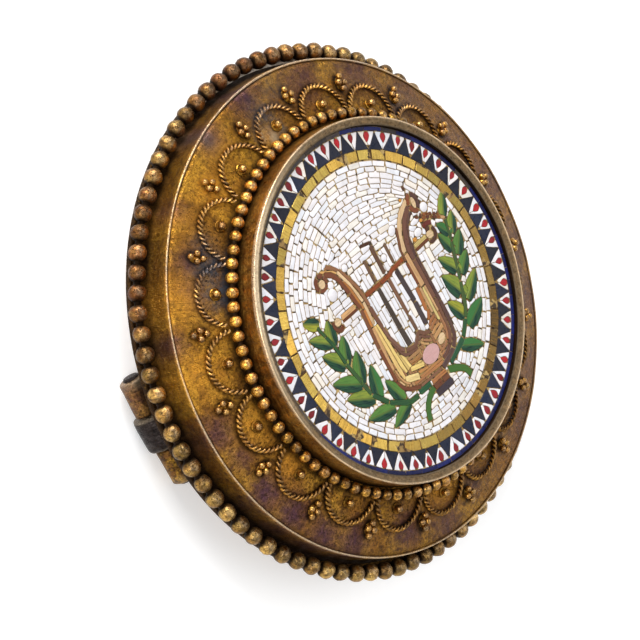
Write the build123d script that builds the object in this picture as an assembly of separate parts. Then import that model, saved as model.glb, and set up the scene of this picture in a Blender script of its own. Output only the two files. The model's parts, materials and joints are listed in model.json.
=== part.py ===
from build123d import *
from collections import namedtuple
import math
import os

# A round micromosaic brooch, face up as it lies on a table, in millimetres.
# The origin is on the brooch's axis at the level it rests on. +Z leaves the mosaic's face,
# +Y is up the lyre and +X is to the lyre's right.

# Clearances between pieces, and how far the necks between grains start from a grain's centre
solder_gap = 0.02
grout_gap = 0.04
running_gap = 0.05
rivet_gap = 0.02
neck_start_share = 0.7

# Back plate and the pin fittings behind it
plate_radius = 18.35
plate_thickness = 0.5
pin_knuckle_radius = 1.38
pin_knuckle_length = 2.45
knuckle_plate_gap = 0.12
knuckle_side_gap = 0.08
hinge_inset = 1.4
hinge_offset_y = 1.275
outer_knuckle_radius = 0.98
outer_knuckle_length = 2.6
leaf_thickness = 0.22
leaf_length = 2.6
leaf_knuckle_gap = 0.3
rivet_radius = 0.42
rivet_head_radius = 0.62
rivet_head_thickness = 0.2
stem_radius = 0.42
stem_point_length = 4.0
stem_tip_radius = 0.08
stem_end_inset = 1.4
catch_inset = 4.2
catch_width = 2.6
catch_thickness = 0.4
catch_foot_length = 2.6
catch_mouth_low_deg = -25.0
catch_mouth_high_deg = 70.0
stem_catch_gap = 0.6

# Ring of large grains on the plate's edge
rim_bead_radius = 0.65
rim_bead_space = 0.07
rim_bead_inset = 0.05
rim_neck_radius = 0.3

# Frame: coved side wall and sloping flange
wall_height = 2.61
wall_thickness = 0.4
wall_cove = 0.22
flange_edge_setback = 0.15
flange_rise_per_mm = 0.3
flange_thickness = 0.4

# Collet: setting wall, bevelled lip and the ledge under the tablet
collet_radius = 12.73
collet_thickness = 0.35
collet_rise = 0.4
collet_lip_width = 0.14
bezel_width = 0.63
bezel_depth = 0.78
ledge_width = 0.8
ledge_thickness = 0.4

# Ring of small grains at the collet's foot
collet_bead_radius = 0.45
collet_bead_space = 0.07
collet_bead_stand_off = 0.07
collet_neck_radius = 0.2

# Twisted-wire scallops and the grains between them
scallop_width = 4.46
scallop_wire_radius = 0.165
scallop_radius = 2.0
scallop_centre_gap = 0.7
scallop_foot_deg = 12.0
grain_radius = 0.27
grain_pad_radius = 0.375
grain_pad_thickness = 0.12
grain_sink = 0.03
grain_centre_gap = 1.3
cluster_grain_radius = 0.21
cluster_centre_gap = 2.7
cluster_long_half = 0.47
cluster_short_half = 0.27
cluster_pad_margin = 0.14
cluster_pad_thickness = 0.08

# Mosaic: glass depth and the widths of the border, from the bezel inwards
mosaic_level = 9.03
glass_depth = 0.4
tablet_thickness = 1.3
blue_ring_width = 0.3
triangle_zone_width = 1.22
triangle_pitch = 1.4
triangle_web = 0.1
diamond_length = 0.56
diamond_width = 0.4
gold_ring_width = 0.7
gold_piece_length = 1.63
gold_joint = 0.1

# Levels and radii worked out from the sizes above
plate_bottom = 2 * pin_knuckle_radius + knuckle_plate_gap
plate_top = plate_bottom + plate_thickness
rim_row_radius = plate_radius - rim_bead_inset
rim_row_height = plate_top + solder_gap + rim_bead_radius
wall_foot_radius = rim_row_radius - rim_bead_radius - solder_gap
wall_foot_height = plate_top + solder_gap
flange_edge_radius = wall_foot_radius - flange_edge_setback
flange_edge_height = wall_foot_height + wall_height
flange_inner_radius = collet_radius + solder_gap
flange_slope_deg = math.degrees(math.atan(flange_rise_per_mm))
collet_row_radius = collet_radius + collet_bead_stand_off + collet_bead_radius
collet_top = mosaic_level + collet_rise
bezel_inner_radius = collet_radius - bezel_width
tablet_radius = collet_radius - collet_thickness - grout_gap
tablet_top = mosaic_level - glass_depth - solder_gap
tablet_bottom = tablet_top - tablet_thickness
blue_outer_radius = bezel_inner_radius - grout_gap
triangle_outer_radius = blue_outer_radius - blue_ring_width - grout_gap
triangle_inner_radius = triangle_outer_radius - triangle_zone_width
gold_outer_radius = triangle_inner_radius - grout_gap
gold_inner_radius = gold_outer_radius - gold_ring_width
field_radius = gold_inner_radius - grout_gap

# The motif's sizes and places are hundredths of the white field's radius.
share = field_radius / 100.0
Point = namedtuple("Point", "x y width")
Leaf = namedtuple("Leaf", "tip_x tip_y base_x base_y width")
Bar = namedtuple("Bar", "start_x start_y end_x end_y width")
Oval = namedtuple("Oval", "x y half_x half_y")

left_arm = [
    Point(-49, 48, 5), Point(-45, 49, 6), Point(-38, 46, 7), Point(-33, 40, 8), Point(-29, 34, 10),
    Point(-26, 27, 10), Point(-25, 20, 10), Point(-24, 6, 10), Point(-24, -5, 11),
    Point(-24, -15, 14), Point(-23, -27, 16),
]
right_arm = [
    Point(61, 47, 5), Point(57, 47, 5), Point(51, 44, 7), Point(45, 39, 9), Point(40, 34, 10),
    Point(37, 27, 11), Point(36.5, 20, 13), Point(36, 10, 14), Point(35.5, 0, 15),
    Point(35, -10, 15), Point(34, -21, 17), Point(34, -29, 17),
]
scroll_ends = [Oval(-50, 43, 6, 6), Oval(63, 44, 5, 7)]
# Soundbox, down its left side, along the bottom, up its right side and back along the hollow
soundbox_outside = [
    (-32, -18), (-32.5, -35), (-32, -45), (-29, -52), (-23, -58), (-16, -63), (-3, -65), (10, -66),
    (22, -63.5), (30, -59.5), (36, -54), (40, -48), (42, -38), (43, -24),
]
soundbox_hollow = [
    (26, -22), (24, -31), (16, -35), (7, -32), (-6, -36), (-12, -33), (-15, -27), (-16, -16),
]
stone_place = Oval(10, -50, 10, 6)
stone_corner = 3
crossbar_middle = Bar(-26, 14.5, 37, 18.5, 4)
crossbar_ends = [Bar(-50, 13, -27, 13, 6), Bar(60, 18, 40, 17, 6)]
crossbar_knobs = [Oval(-53, 13, 4.5, 5), Oval(63.5, 18, 4.5, 5)]
strings = [
    Bar(-5, 16, -5, 35, 3), Bar(7, 17, 7, 46, 4), Bar(19, 18, 19, 35, 3),
    Bar(-5, 15, -3, -38, 5), Bar(7, 16, 7.5, -36, 4), Bar(19, 17, 18, -38, 5),
]
base_block = Bar(7, -67.5, 7, -78.5, 19)
left_stem = [
    Point(-5, -69, 4), Point(-19, -68, 4), Point(-32, -66, 4), Point(-41, -60, 4),
    Point(-50, -52, 4), Point(-56, -43, 4), Point(-60, -34, 4), Point(-63, -23, 4),
    Point(-65, -12, 4), Point(-67, 0, 4), Point(-68, 11, 4), Point(-72, 19, 4), Point(-77, 26, 4),
]
right_stem = [
    Point(20, -69, 4), Point(32, -66, 4), Point(43, -60, 4), Point(52, -54, 4), Point(59, -48, 4),
    Point(64, -41, 4), Point(68, -32, 4), Point(71, -21, 4), Point(74, -9, 4), Point(76, 2, 4),
    Point(80, 12, 4), Point(84, 21, 4), Point(86, 26, 4),
]
left_tail = [
    Point(-6, -75, 4), Point(-11, -75, 4), Point(-16, -78, 4), Point(-19, -82, 4), Point(-20, -88, 4),
]
right_tail = [
    Point(20, -75, 4), Point(26, -75, 4), Point(32, -78, 4), Point(36, -81, 4), Point(38, -86, 4),
]
left_leaves = [
    Leaf(-83, 17, -69, 9, 8), Leaf(-61.5, 12, -68, 2, 7), Leaf(-79, -1, -65, -11, 8),
    Leaf(-56, -1, -65, -14, 8), Leaf(-83, -19, -62, -28, 9), Leaf(-52, -12, -61, -31, 9),
    Leaf(-79, -35, -57, -43, 9), Leaf(-44, -27, -55, -45, 9), Leaf(-69, -60, -46, -56, 9),
    Leaf(-41, -41, -41, -60, 9), Leaf(-51, -75, -31, -66, 8),
]
right_leaves = [
    Leaf(90, 37, 84, 20, 9), Leaf(70, 13, 76, -3, 8), Leaf(91, 19, 77, 5, 8), Leaf(90, 4, 75, -9, 8),
    Leaf(60, -1, 73, -16, 8), Leaf(89, -10, 71, -22, 8), Leaf(56, -12, 67, -34, 11),
    Leaf(87, -26, 67, -35, 8), Leaf(49, -31, 59, -48, 9), Leaf(78, -44, 57, -50, 9),
    Leaf(61, -71, 40, -62, 9),
]

# Flat shapes of the motif

def along(start, end, distance):
    """The point past end by distance, on the line from start."""
    length = math.hypot(end[0] - start[0], end[1] - start[1])
    return (
        end[0] + (end[0] - start[0]) / length * distance,
        end[1] + (end[1] - start[1]) / length * distance,
    )


def side_line(points):
    """One long edge of a strip: straight between two points, smooth through more."""
    if len(points) == 2:
        return Line(*points)
    return Spline(*points)


def strip(stations, grow=0.0):
    """A strip of glass through stations, each with its own width, larger by grow all round."""
    middle = [(station.x * share, station.y * share) for station in stations]
    middle[0] = along(middle[1], middle[0], grow)
    middle[-1] = along(middle[-2], middle[-1], grow)
    left_side = []
    right_side = []
    for index, (x, y) in enumerate(middle):
        before = middle[max(index - 1, 0)]
        after = middle[min(index + 1, len(middle) - 1)]
        length = math.hypot(after[0] - before[0], after[1] - before[1])
        across = (-(after[1] - before[1]) / length, (after[0] - before[0]) / length)
        half = stations[index].width * share / 2 + grow
        left_side.append((x + across[0] * half, y + across[1] * half))
        right_side.append((x - across[0] * half, y - across[1] * half))
    edges = [
        side_line(left_side),
        Line(left_side[-1], right_side[-1]),
        side_line(right_side[::-1]),
        Line(right_side[0], left_side[0]),
    ]
    return make_face(edges)


def bar(place, grow=0.0):
    """A straight strip of one width."""
    start = Point(place.start_x, place.start_y, place.width)
    end = Point(place.end_x, place.end_y, place.width)
    return strip([start, end], grow)


def oval(place, grow=0.0):
    """A rounded piece of glass."""
    shape = Ellipse(place.half_x * share + grow, place.half_y * share + grow)
    return Pos(place.x * share, place.y * share) * shape


def leaf(place, grow=0.0):
    """A pointed leaf between two arcs."""
    tip = (place.tip_x * share, place.tip_y * share)
    base = (place.base_x * share, place.base_y * share)
    length = math.hypot(tip[0] - base[0], tip[1] - base[1])
    half = place.width * share / 2
    point_grow = grow / math.sin(2 * math.atan(2 * half / length))
    middle = ((tip[0] + base[0]) / 2, (tip[1] + base[1]) / 2)
    across = (-(tip[1] - base[1]) / length, (tip[0] - base[0]) / length)
    tip, base = along(base, tip, point_grow), along(tip, base, point_grow)
    reach = half + grow
    edges = []
    for side in (reach, -reach):
        belly = (middle[0] + across[0] * side, middle[1] + across[1] * side)
        edges.append(ThreePointArc(base, belly, tip))
    return make_face(edges)


def grown_outline(points, grow):
    """Moves each point of an open run of an outline to its right by grow."""
    moved = []
    for index, (x, y) in enumerate(points):
        before = points[max(index - 1, 0)]
        after = points[min(index + 1, len(points) - 1)]
        length = math.hypot(after[0] - before[0], after[1] - before[1])
        across = ((after[1] - before[1]) / length, -(after[0] - before[0]) / length)
        moved.append((x * share + across[0] * grow, y * share + across[1] * grow))
    return moved


def soundbox(grow=0.0):
    """The lyre's soundbox, with a hollow where the strings come down."""
    outside = grown_outline(soundbox_outside, grow)
    hollow = grown_outline(soundbox_hollow, grow)
    edges = [
        Spline(*outside),
        Line(outside[-1], hollow[0]),
        Spline(*hollow),
        Line(hollow[-1], outside[0]),
    ]
    return make_face(edges)


def stone(grow=0.0):
    """The rounded stone in the soundbox."""
    width = 2 * (stone_place.half_x * share + grow)
    height = 2 * (stone_place.half_y * share + grow)
    corner = stone_corner * share + grow
    return Pos(stone_place.x * share, stone_place.y * share) * RectangleRounded(width, height, corner)


def lyre(grow=0.0):
    """Both arms with their scroll ends, and the soundbox."""
    shapes = [strip(left_arm, grow), strip(right_arm, grow), soundbox(grow)]
    shapes += [oval(place, grow) for place in scroll_ends]
    return Sketch() + shapes


def crossbar(grow=0.0):
    """The bar between the arms, its two ends and their knobs."""
    shapes = [bar(crossbar_middle, grow)]
    shapes += [bar(place, grow) for place in crossbar_ends]
    shapes += [oval(place, grow) for place in crossbar_knobs]
    return Sketch() + shapes


def string_set(grow=0.0):
    """Three strings, above the crossbar and below it."""
    return Sketch() + [bar(place, grow) for place in strings]


def spray(stem, tail, leaves, grow=0.0):
    """One laurel spray with the tail of its stem."""
    shapes = [strip(stem, grow), strip(tail, grow)]
    shapes += [leaf(place, grow) for place in leaves]
    return Sketch() + shapes


def glass(sketch):
    """Glass of the mosaic's depth, flush with its face."""
    return Pos(0, 0, mosaic_level - glass_depth) * extrude(sketch, glass_depth)


# Metal, from the back to the front

def revolved(points):
    """A ring or disc with this half section, each point a radius and a height."""
    return revolve(Plane.XZ * make_face(Polyline(*points, close=True)), Axis.Z)


def make_back_plate():
    return Pos(0, 0, plate_bottom) * extrude(Circle(plate_radius), plate_thickness)


def hinge_place(y_from_centre):
    """On the hinge's axis, with the local z along it."""
    origin = (hinge_inset - plate_radius, hinge_offset_y + y_from_centre, pin_knuckle_radius)
    return Plane(origin, x_dir=(1, 0, 0), z_dir=(0, -1, 0))


def make_hinge_knuckles():
    """Two curled straps that come down from one leaf, which is soldered to the plate."""
    bore_radius = rivet_radius + rivet_gap
    leaf_top = plate_bottom - solder_gap
    strap_right = hinge_inset - plate_radius + outer_knuckle_radius
    strap_left = strap_right - leaf_thickness
    leaf_left = hinge_inset - plate_radius + pin_knuckle_radius + leaf_knuckle_gap
    inner_end = pin_knuckle_length / 2 + knuckle_side_gap
    body = Part()
    for side in (-1, 1):
        middle_y = side * (inner_end + outer_knuckle_length / 2)
        plane = hinge_place(middle_y)
        curl = plane * extrude(Circle(outer_knuckle_radius), outer_knuckle_length / 2, both=True)
        strap_height = leaf_top - pin_knuckle_radius
        strap = Pos(
            (strap_left + strap_right) / 2,
            hinge_offset_y + middle_y,
            leaf_top - strap_height / 2,
        ) * Box(leaf_thickness, outer_knuckle_length, strap_height)
        arm = Pos(
            (strap_left + leaf_left + leaf_thickness) / 2,
            hinge_offset_y + middle_y,
            leaf_top - leaf_thickness / 2,
        ) * Box(leaf_left + leaf_thickness - strap_left, outer_knuckle_length, leaf_thickness)
        bore = plane * extrude(Circle(bore_radius), outer_knuckle_length, both=True)
        body += curl + strap + arm - bore
    leaf_width = 2 * (inner_end + outer_knuckle_length)
    body += Pos(
        leaf_left + leaf_length / 2,
        hinge_offset_y,
        leaf_top - leaf_thickness / 2,
    ) * Box(leaf_length, leaf_width, leaf_thickness)
    return body


def make_hinge_rivet():
    """The rivet through the three knuckles, with a head at each end."""
    outer_end = pin_knuckle_length / 2 + knuckle_side_gap + outer_knuckle_length + rivet_gap
    shank = hinge_place(0) * extrude(Circle(rivet_radius), outer_end, both=True)
    body = Part() + shank
    for side in (-1, 1):
        head_y = side * (outer_end + rivet_head_thickness / 2)
        head = extrude(Circle(rivet_head_radius), rivet_head_thickness / 2, both=True)
        body += hinge_place(head_y) * head
    return body


def make_pin():
    """The middle knuckle and the straight stem with its point."""
    knuckle = hinge_place(0) * extrude(Circle(pin_knuckle_radius), pin_knuckle_length / 2, both=True)
    bore_radius = rivet_radius + running_gap
    bore = hinge_place(0) * extrude(Circle(bore_radius), pin_knuckle_length, both=True)
    stem_start = hinge_inset - plate_radius + (bore_radius + pin_knuckle_radius) / 2
    stem_end = plate_radius - stem_end_inset
    straight_end = stem_end - stem_point_length
    side_view = make_face(Polyline(
        (stem_start, 0),
        (stem_start, stem_radius),
        (straight_end, stem_radius),
        (stem_end, stem_tip_radius),
        (stem_end, 0),
        close=True,
    ))
    stem = Pos(0, hinge_offset_y, pin_knuckle_radius) * revolve(side_view, Axis.X)
    return knuckle + stem - bore


def make_catch():
    """A strip curled into a hook, open towards the stem, on a foot soldered to the plate."""
    hook_radius = pin_knuckle_radius
    low = math.radians(catch_mouth_low_deg)
    high = math.radians(catch_mouth_high_deg)
    hook_y = hinge_offset_y - stem_radius - stem_catch_gap - hook_radius * math.cos(low)
    far = 2 * hook_radius
    mouth = Polygon(
        (0, 0),
        (far * math.cos(low), far * math.sin(low)),
        (far, far),
        (far * math.cos(high), far * math.sin(high)),
        align=None,
    )
    curl = Circle(hook_radius) - Circle(hook_radius - catch_thickness) - mouth
    foot_top = plate_bottom - solder_gap - hook_radius
    foot_height = foot_top - hook_radius + catch_thickness
    foot_place = Pos(-catch_foot_length / 4, foot_top - foot_height / 2)
    foot = foot_place * Rectangle(catch_foot_length, foot_height)
    section = Plane.YZ * (curl + foot)
    hook = extrude(section, catch_width / 2, both=True)
    return Pos(plate_radius - catch_inset, hook_y, hook_radius) * hook


def beaded_wire(row_radius, row_height, bead_radius, bead_space, neck_radius):
    """A closed ring of grains joined by short necks, as one solid."""
    count = round(2 * math.pi * row_radius / (2 * bead_radius + bead_space))
    step = 360.0 / count
    chord = 2 * row_radius * math.sin(math.pi / count)
    neck_length = chord - 2 * neck_start_share * bead_radius
    middle_radius = row_radius * math.cos(math.pi / count)
    grain = Pos(row_radius, 0, row_height) * Sphere(bead_radius)
    neck_place = Rot(0, 0, step / 2) * Pos(middle_radius, 0, row_height) * Rot(90, 0, 0)
    neck = neck_place * Cylinder(neck_radius, neck_length)
    units = []
    for index in range(count):
        turn = Rot(0, 0, index * step)
        units.append(turn * grain)
        units.append(turn * neck)
    return Part() + units


def make_rim_beads():
    return beaded_wire(rim_row_radius, rim_row_height, rim_bead_radius, rim_bead_space, rim_neck_radius)


def flange_height(radius):
    """Height of the flange's face at a radius."""
    return flange_edge_height + (flange_edge_radius - radius) * flange_rise_per_mm


def make_frame():
    """The coved side wall and the flange that rises towards the collet, one bent sheet."""
    flange_drop = flange_thickness / math.cos(math.radians(flange_slope_deg))
    inner_foot = wall_foot_radius - wall_thickness
    inner_top = flange_edge_radius - wall_thickness
    middle_height = wall_foot_height + wall_height / 2
    outer_middle = flange_edge_radius - wall_cove
    edge_bottom = flange_edge_height - flange_thickness / 2
    foot_outside = (wall_foot_radius, wall_foot_height)
    foot_inside = (inner_foot, wall_foot_height)
    edge_below = (flange_edge_radius, edge_bottom)
    edge_above = (flange_edge_radius, flange_edge_height)
    inner_above = (flange_inner_radius, flange_height(flange_inner_radius))
    inner_below = (flange_inner_radius, flange_height(flange_inner_radius) - flange_drop)
    corner_inside = (inner_top, flange_height(inner_top) - flange_drop)
    outline = [
        ThreePointArc(foot_outside, (outer_middle, middle_height), edge_below),
        Polyline(edge_below, edge_above, inner_above, inner_below, corner_inside),
        ThreePointArc(corner_inside, (outer_middle - wall_thickness, middle_height), foot_inside),
        Line(foot_inside, foot_outside),
    ]
    return revolve(Plane.XZ * make_face(outline), Axis.Z)


def make_collet():
    """The setting: a tube with a ledge inside, closed at the top by a bevelled lip."""
    inside = collet_radius - collet_thickness
    ledge_top = tablet_bottom - solder_gap
    bezel_bottom = collet_top - bezel_depth
    return revolved([
        (collet_radius, plate_top + solder_gap),
        (collet_radius, collet_top),
        (collet_radius - collet_lip_width, collet_top),
        (bezel_inner_radius, mosaic_level),
        (bezel_inner_radius, bezel_bottom),
        (inside, bezel_bottom),
        (inside, ledge_top),
        (inside - ledge_width, ledge_top),
        (inside - ledge_width, ledge_top - ledge_thickness),
        (inside, ledge_top - ledge_thickness),
        (inside, plate_top + solder_gap),
    ])


def make_collet_beads():
    stand = (collet_bead_radius + solder_gap) / math.cos(math.radians(flange_slope_deg))
    height = flange_height(collet_row_radius) + stand
    return beaded_wire(collet_row_radius, height, collet_bead_radius, collet_bead_space, collet_neck_radius)


def on_flange(radius, lift):
    """A place on the flange: local x down its slope, local z square to its face."""
    slope = math.radians(flange_slope_deg)
    origin = (radius + math.sin(slope) * lift, 0, flange_height(radius) + math.cos(slope) * lift)
    plane = Plane(
        origin,
        x_dir=(math.cos(slope), 0, -math.sin(slope)),
        z_dir=(math.sin(slope), 0, math.cos(slope)),
    )
    return plane.location


scallop_centre_radius = collet_row_radius - collet_bead_radius + scallop_centre_gap
scallop_count = round(2 * math.pi * scallop_centre_radius / scallop_width)
scallop_step = 360.0 / scallop_count
scallop_start = 90.0


def repeated(piece, half_steps=0):
    """The same piece at each scallop, or half a step on at each cusp."""
    copies = []
    for index in range(scallop_count):
        copies.append(Rot(0, 0, scallop_start + (index + half_steps / 2) * scallop_step) * piece)
    return Compound(children=copies)


def make_scallops():
    """One arch of wire over each grain, its feet beside the small grains."""
    sweep = 180 - 2 * scallop_foot_deg
    ring = Torus(scallop_radius, scallop_wire_radius, major_angle=sweep, align=None)
    arch = Rot(0, 0, scallop_foot_deg - 90) * ring
    place = on_flange(scallop_centre_radius, scallop_wire_radius + solder_gap)
    return repeated(place * arch)


def make_scallop_grains():
    """A grain on a round pad of solder inside each arch."""
    pad = Pos(0, 0, grain_pad_thickness / 2) * Cylinder(grain_pad_radius, grain_pad_thickness)
    grain = Pos(0, 0, grain_radius - grain_sink + grain_pad_thickness / 2) * Sphere(grain_radius)
    place = on_flange(collet_row_radius - collet_bead_radius + grain_centre_gap, solder_gap)
    return repeated(place * (pad + grain))


def make_grain_clusters():
    """Four grains in a diamond on one thin pad, at each cusp."""
    half_long = cluster_long_half + cluster_grain_radius + cluster_pad_margin
    half_short = cluster_short_half + cluster_grain_radius + cluster_pad_margin
    diamond = Polygon((half_long, 0), (0, half_short), (-half_long, 0), (0, -half_short), align=None)
    cluster = Part() + extrude(diamond, cluster_pad_thickness)
    spots = [
        (cluster_long_half, 0),
        (0, cluster_short_half),
        (-cluster_long_half, 0),
        (0, -cluster_short_half),
    ]
    for x, y in spots:
        cluster += Pos(x, y, cluster_grain_radius) * Sphere(cluster_grain_radius)
    place = on_flange(collet_row_radius - collet_bead_radius + cluster_centre_gap, 2 * solder_gap)
    return repeated(place * cluster, half_steps=1)


# Mosaic

def make_mosaic_tablet():
    return Pos(0, 0, tablet_bottom) * extrude(Circle(tablet_radius), tablet_thickness)


def make_blue_ring():
    return glass(Circle(blue_outer_radius) - Circle(blue_outer_radius - blue_ring_width))


triangle_count = round(2 * math.pi * (triangle_outer_radius + triangle_inner_radius) / 2 / triangle_pitch)
triangle_step = 360.0 / triangle_count


def zigzag(valley_radius, apex_radius):
    """A closed zigzag line, with an apex at the middle of each navy triangle."""
    points = []
    for index in range(triangle_count):
        for part_step, radius in ((0, apex_radius), (0.5, valley_radius)):
            angle = math.radians((index + part_step) * triangle_step)
            points.append((radius * math.cos(angle), radius * math.sin(angle)))
    return Polygon(*points, align=None)


def triangle_side_gap():
    """The radial shift that opens a grout gap between two rows of sloping sides."""
    half_base = math.pi * (triangle_outer_radius + triangle_inner_radius) / 2 / triangle_count
    height = triangle_zone_width - 2 * triangle_web
    return grout_gap * math.hypot(half_base, height) / half_base


def make_navy_triangles():
    """Navy triangles that point outwards, joined by a narrow web at their bases."""
    valley = triangle_inner_radius + triangle_web
    apex = triangle_outer_radius - triangle_web - triangle_side_gap()
    return glass(zigzag(valley, apex) - Circle(triangle_inner_radius))


def diamond_shapes(grow=0.0):
    """One diamond in the middle of each white triangle."""
    centre = (triangle_inner_radius + 2 * triangle_outer_radius) / 3
    half_length = diamond_length / 2 + grow * diamond_length / diamond_width
    half_width = diamond_width / 2 + grow * diamond_width / diamond_length
    corners = ((half_length, 0), (0, half_width), (-half_length, 0), (0, -half_width))
    diamond = Pos(centre, 0) * Polygon(*corners, align=None)
    return [Rot(0, 0, (index + 0.5) * triangle_step) * diamond for index in range(triangle_count)]


def make_white_triangles():
    """White triangles that point inwards, each with a pocket for its diamond."""
    valley = triangle_inner_radius + triangle_web + triangle_side_gap()
    apex = triangle_outer_radius - triangle_web
    pockets = diamond_shapes(2 * grout_gap)
    return glass(Circle(triangle_outer_radius) - zigzag(valley, apex) - pockets)


def make_red_diamonds():
    return Compound(children=[glass(diamond) for diamond in diamond_shapes()])


def make_gold_ring():
    """Gold-backed glass, cut into short curved pieces."""
    middle_radius = (gold_inner_radius + gold_outer_radius) / 2
    count = round(2 * math.pi * middle_radius / gold_piece_length)
    joints = []
    for index in range(count):
        joint = Pos(middle_radius, 0) * Rectangle(2 * gold_ring_width, gold_joint)
        joints.append(Rot(0, 0, index * 360.0 / count) * joint)
    return glass(Circle(gold_outer_radius) - Circle(gold_inner_radius) - joints)


def make_white_field():
    """The white ground, cut out for the lyre and the laurel."""
    pockets = [
        lyre(grout_gap),
        crossbar(grout_gap),
        string_set(grout_gap),
        bar(base_block, grout_gap),
        spray(left_stem, left_tail, left_leaves, grout_gap),
        spray(right_stem, right_tail, right_leaves, grout_gap),
    ]
    return glass(Circle(field_radius) - pockets)


nodes = {
    "back_plate": make_back_plate(),
    "hinge_knuckles": make_hinge_knuckles(),
    "hinge_rivet": make_hinge_rivet(),
    "pin": make_pin(),
    "catch": make_catch(),
    "rim_beads": make_rim_beads(),
    "frame": make_frame(),
    "collet": make_collet(),
    "collet_beads": make_collet_beads(),
    "scallops": make_scallops(),
    "scallop_grains": make_scallop_grains(),
    "grain_clusters": make_grain_clusters(),
    "mosaic_tablet": make_mosaic_tablet(),
    "blue_ring": make_blue_ring(),
    "white_triangles": make_white_triangles(),
    "red_diamonds": make_red_diamonds(),
    "navy_triangles": make_navy_triangles(),
    "gold_ring": make_gold_ring(),
    "white_field": make_white_field(),
    "lyre_body": glass(lyre() - stone(grout_gap)),
    "lyre_crossbar": glass(crossbar() - lyre(grout_gap)),
    "lyre_strings": glass(string_set() - crossbar(grout_gap) - lyre(grout_gap)),
    "lyre_stone": glass(stone()),
    "lyre_base": glass(bar(base_block)),
    "laurel_left": glass(spray(left_stem, left_tail, left_leaves)),
    "laurel_right": glass(spray(right_stem, right_tail, right_leaves)),
}

os.makedirs("parts", exist_ok=True)
for name, shape in nodes.items():
    export_step(shape, f"parts/{name}.step")
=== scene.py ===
# %% [markdown]
# # A round micromosaic brooch
#
# The object is a gilt-metal brooch with a micromosaic in its middle: a lyre between two laurel
# sprays, laid from hundreds of small strips of opaque glass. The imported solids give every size
# and place. This lesson dresses them piece by piece: metal first, then the mosaic, then the light.
# All work is done in millimetres and turned into metres when a piece is finished.

import json
import math
import random
from collections import defaultdict, namedtuple
from functools import partialmethod

import bmesh
import bpy
import numpy as np
from mathutils import Matrix, Quaternion, Vector, noise


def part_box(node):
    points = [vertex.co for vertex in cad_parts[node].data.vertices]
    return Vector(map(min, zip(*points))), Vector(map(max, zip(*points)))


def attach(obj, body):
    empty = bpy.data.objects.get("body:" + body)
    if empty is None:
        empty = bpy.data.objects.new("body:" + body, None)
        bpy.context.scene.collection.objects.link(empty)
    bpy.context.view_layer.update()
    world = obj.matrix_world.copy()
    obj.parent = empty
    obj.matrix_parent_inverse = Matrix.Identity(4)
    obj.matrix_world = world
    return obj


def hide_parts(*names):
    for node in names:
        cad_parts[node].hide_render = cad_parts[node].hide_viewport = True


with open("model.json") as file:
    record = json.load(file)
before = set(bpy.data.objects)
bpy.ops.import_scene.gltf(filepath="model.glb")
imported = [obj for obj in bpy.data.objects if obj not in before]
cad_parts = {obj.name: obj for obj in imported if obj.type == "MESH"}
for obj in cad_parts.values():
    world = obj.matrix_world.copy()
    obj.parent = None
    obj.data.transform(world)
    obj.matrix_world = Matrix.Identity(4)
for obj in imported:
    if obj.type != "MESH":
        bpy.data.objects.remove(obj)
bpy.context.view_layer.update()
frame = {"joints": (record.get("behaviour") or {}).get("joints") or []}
mm = 0.001
scene = bpy.context.scene


# %% [markdown]
# ## Sizes from the solids
#
# A maker measures the blank before decorating it. Each radius and level below is read from the
# box of a solid, so the looks can't drift away from the construction. What a box can't tell,
# such as the radius of a wire, is a named value in millimetres.

# %% Measuring the blank
def low_of(node):
    """Lowest corner of a solid, in millimetres."""
    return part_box(node)[0] / mm


def high_of(node):
    """Highest corner of a solid, in millimetres."""
    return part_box(node)[1] / mm


def row_of(node):
    """Of a row of grains: the grain's radius, the row's radius and its level."""
    low = low_of(node)
    high = high_of(node)
    bead_radius = (high.z - low.z) / 2
    return bead_radius, high.x - bead_radius, low.z + bead_radius


plate_radius = high_of("back_plate").x
plate_bottom = low_of("back_plate").z
plate_top = high_of("back_plate").z
rim_bead_radius, rim_row_radius, rim_row_level = row_of("rim_beads")
wall_foot_radius = high_of("frame").x
wall_foot_level = low_of("frame").z
flange_inner_level = high_of("frame").z
collet_radius = high_of("collet").x
collet_top = high_of("collet").z
small_bead_radius, small_row_radius, small_row_level = row_of("collet_beads")
tablet_radius = high_of("mosaic_tablet").x
tablet_bottom = low_of("mosaic_tablet").z
mosaic_level = high_of("white_field").z
glass_depth = mosaic_level - low_of("white_field").z
blue_radius = high_of("blue_ring").x
triangle_radius = high_of("white_triangles").x
gold_radius = high_of("gold_ring").x
field_radius = high_of("white_field").x

wall_cove = 0.22
wall_thickness = 0.4
flange_rise = 0.3
flange_edge_radius = wall_foot_radius - 0.15
flange_inner_radius = collet_radius + 0.02
flange_edge_level = flange_inner_level - (flange_edge_radius - flange_inner_radius) * flange_rise
bezel_radius = blue_radius + 0.04
ledge_width = 0.8
print("brooch", round(2 * high_of("rim_beads").x, 2), "mm across, mosaic", round(2 * blue_radius, 2))


# %% [markdown]
# ## Helpers for shaders
#
# Every finish is a small tree of nodes. A recipe holds one tree. Its steps add a node, set its
# sockets by name and wire it. Patterns read Object coordinates turned into millimetres, or the
# "grain" map, whose u runs along a piece and v across it, also in millimetres.

# %% Colours and recipes
def srgb(red, green, blue):
    """A colour given as 0 to 255, in the linear values that a shader takes."""
    parts = [value / 255 for value in (red, green, blue)]
    return (*(part / 12.92 if part <= 0.04045 else ((part + 0.055) / 1.055) ** 2.4 for part in parts), 1.0)


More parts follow.
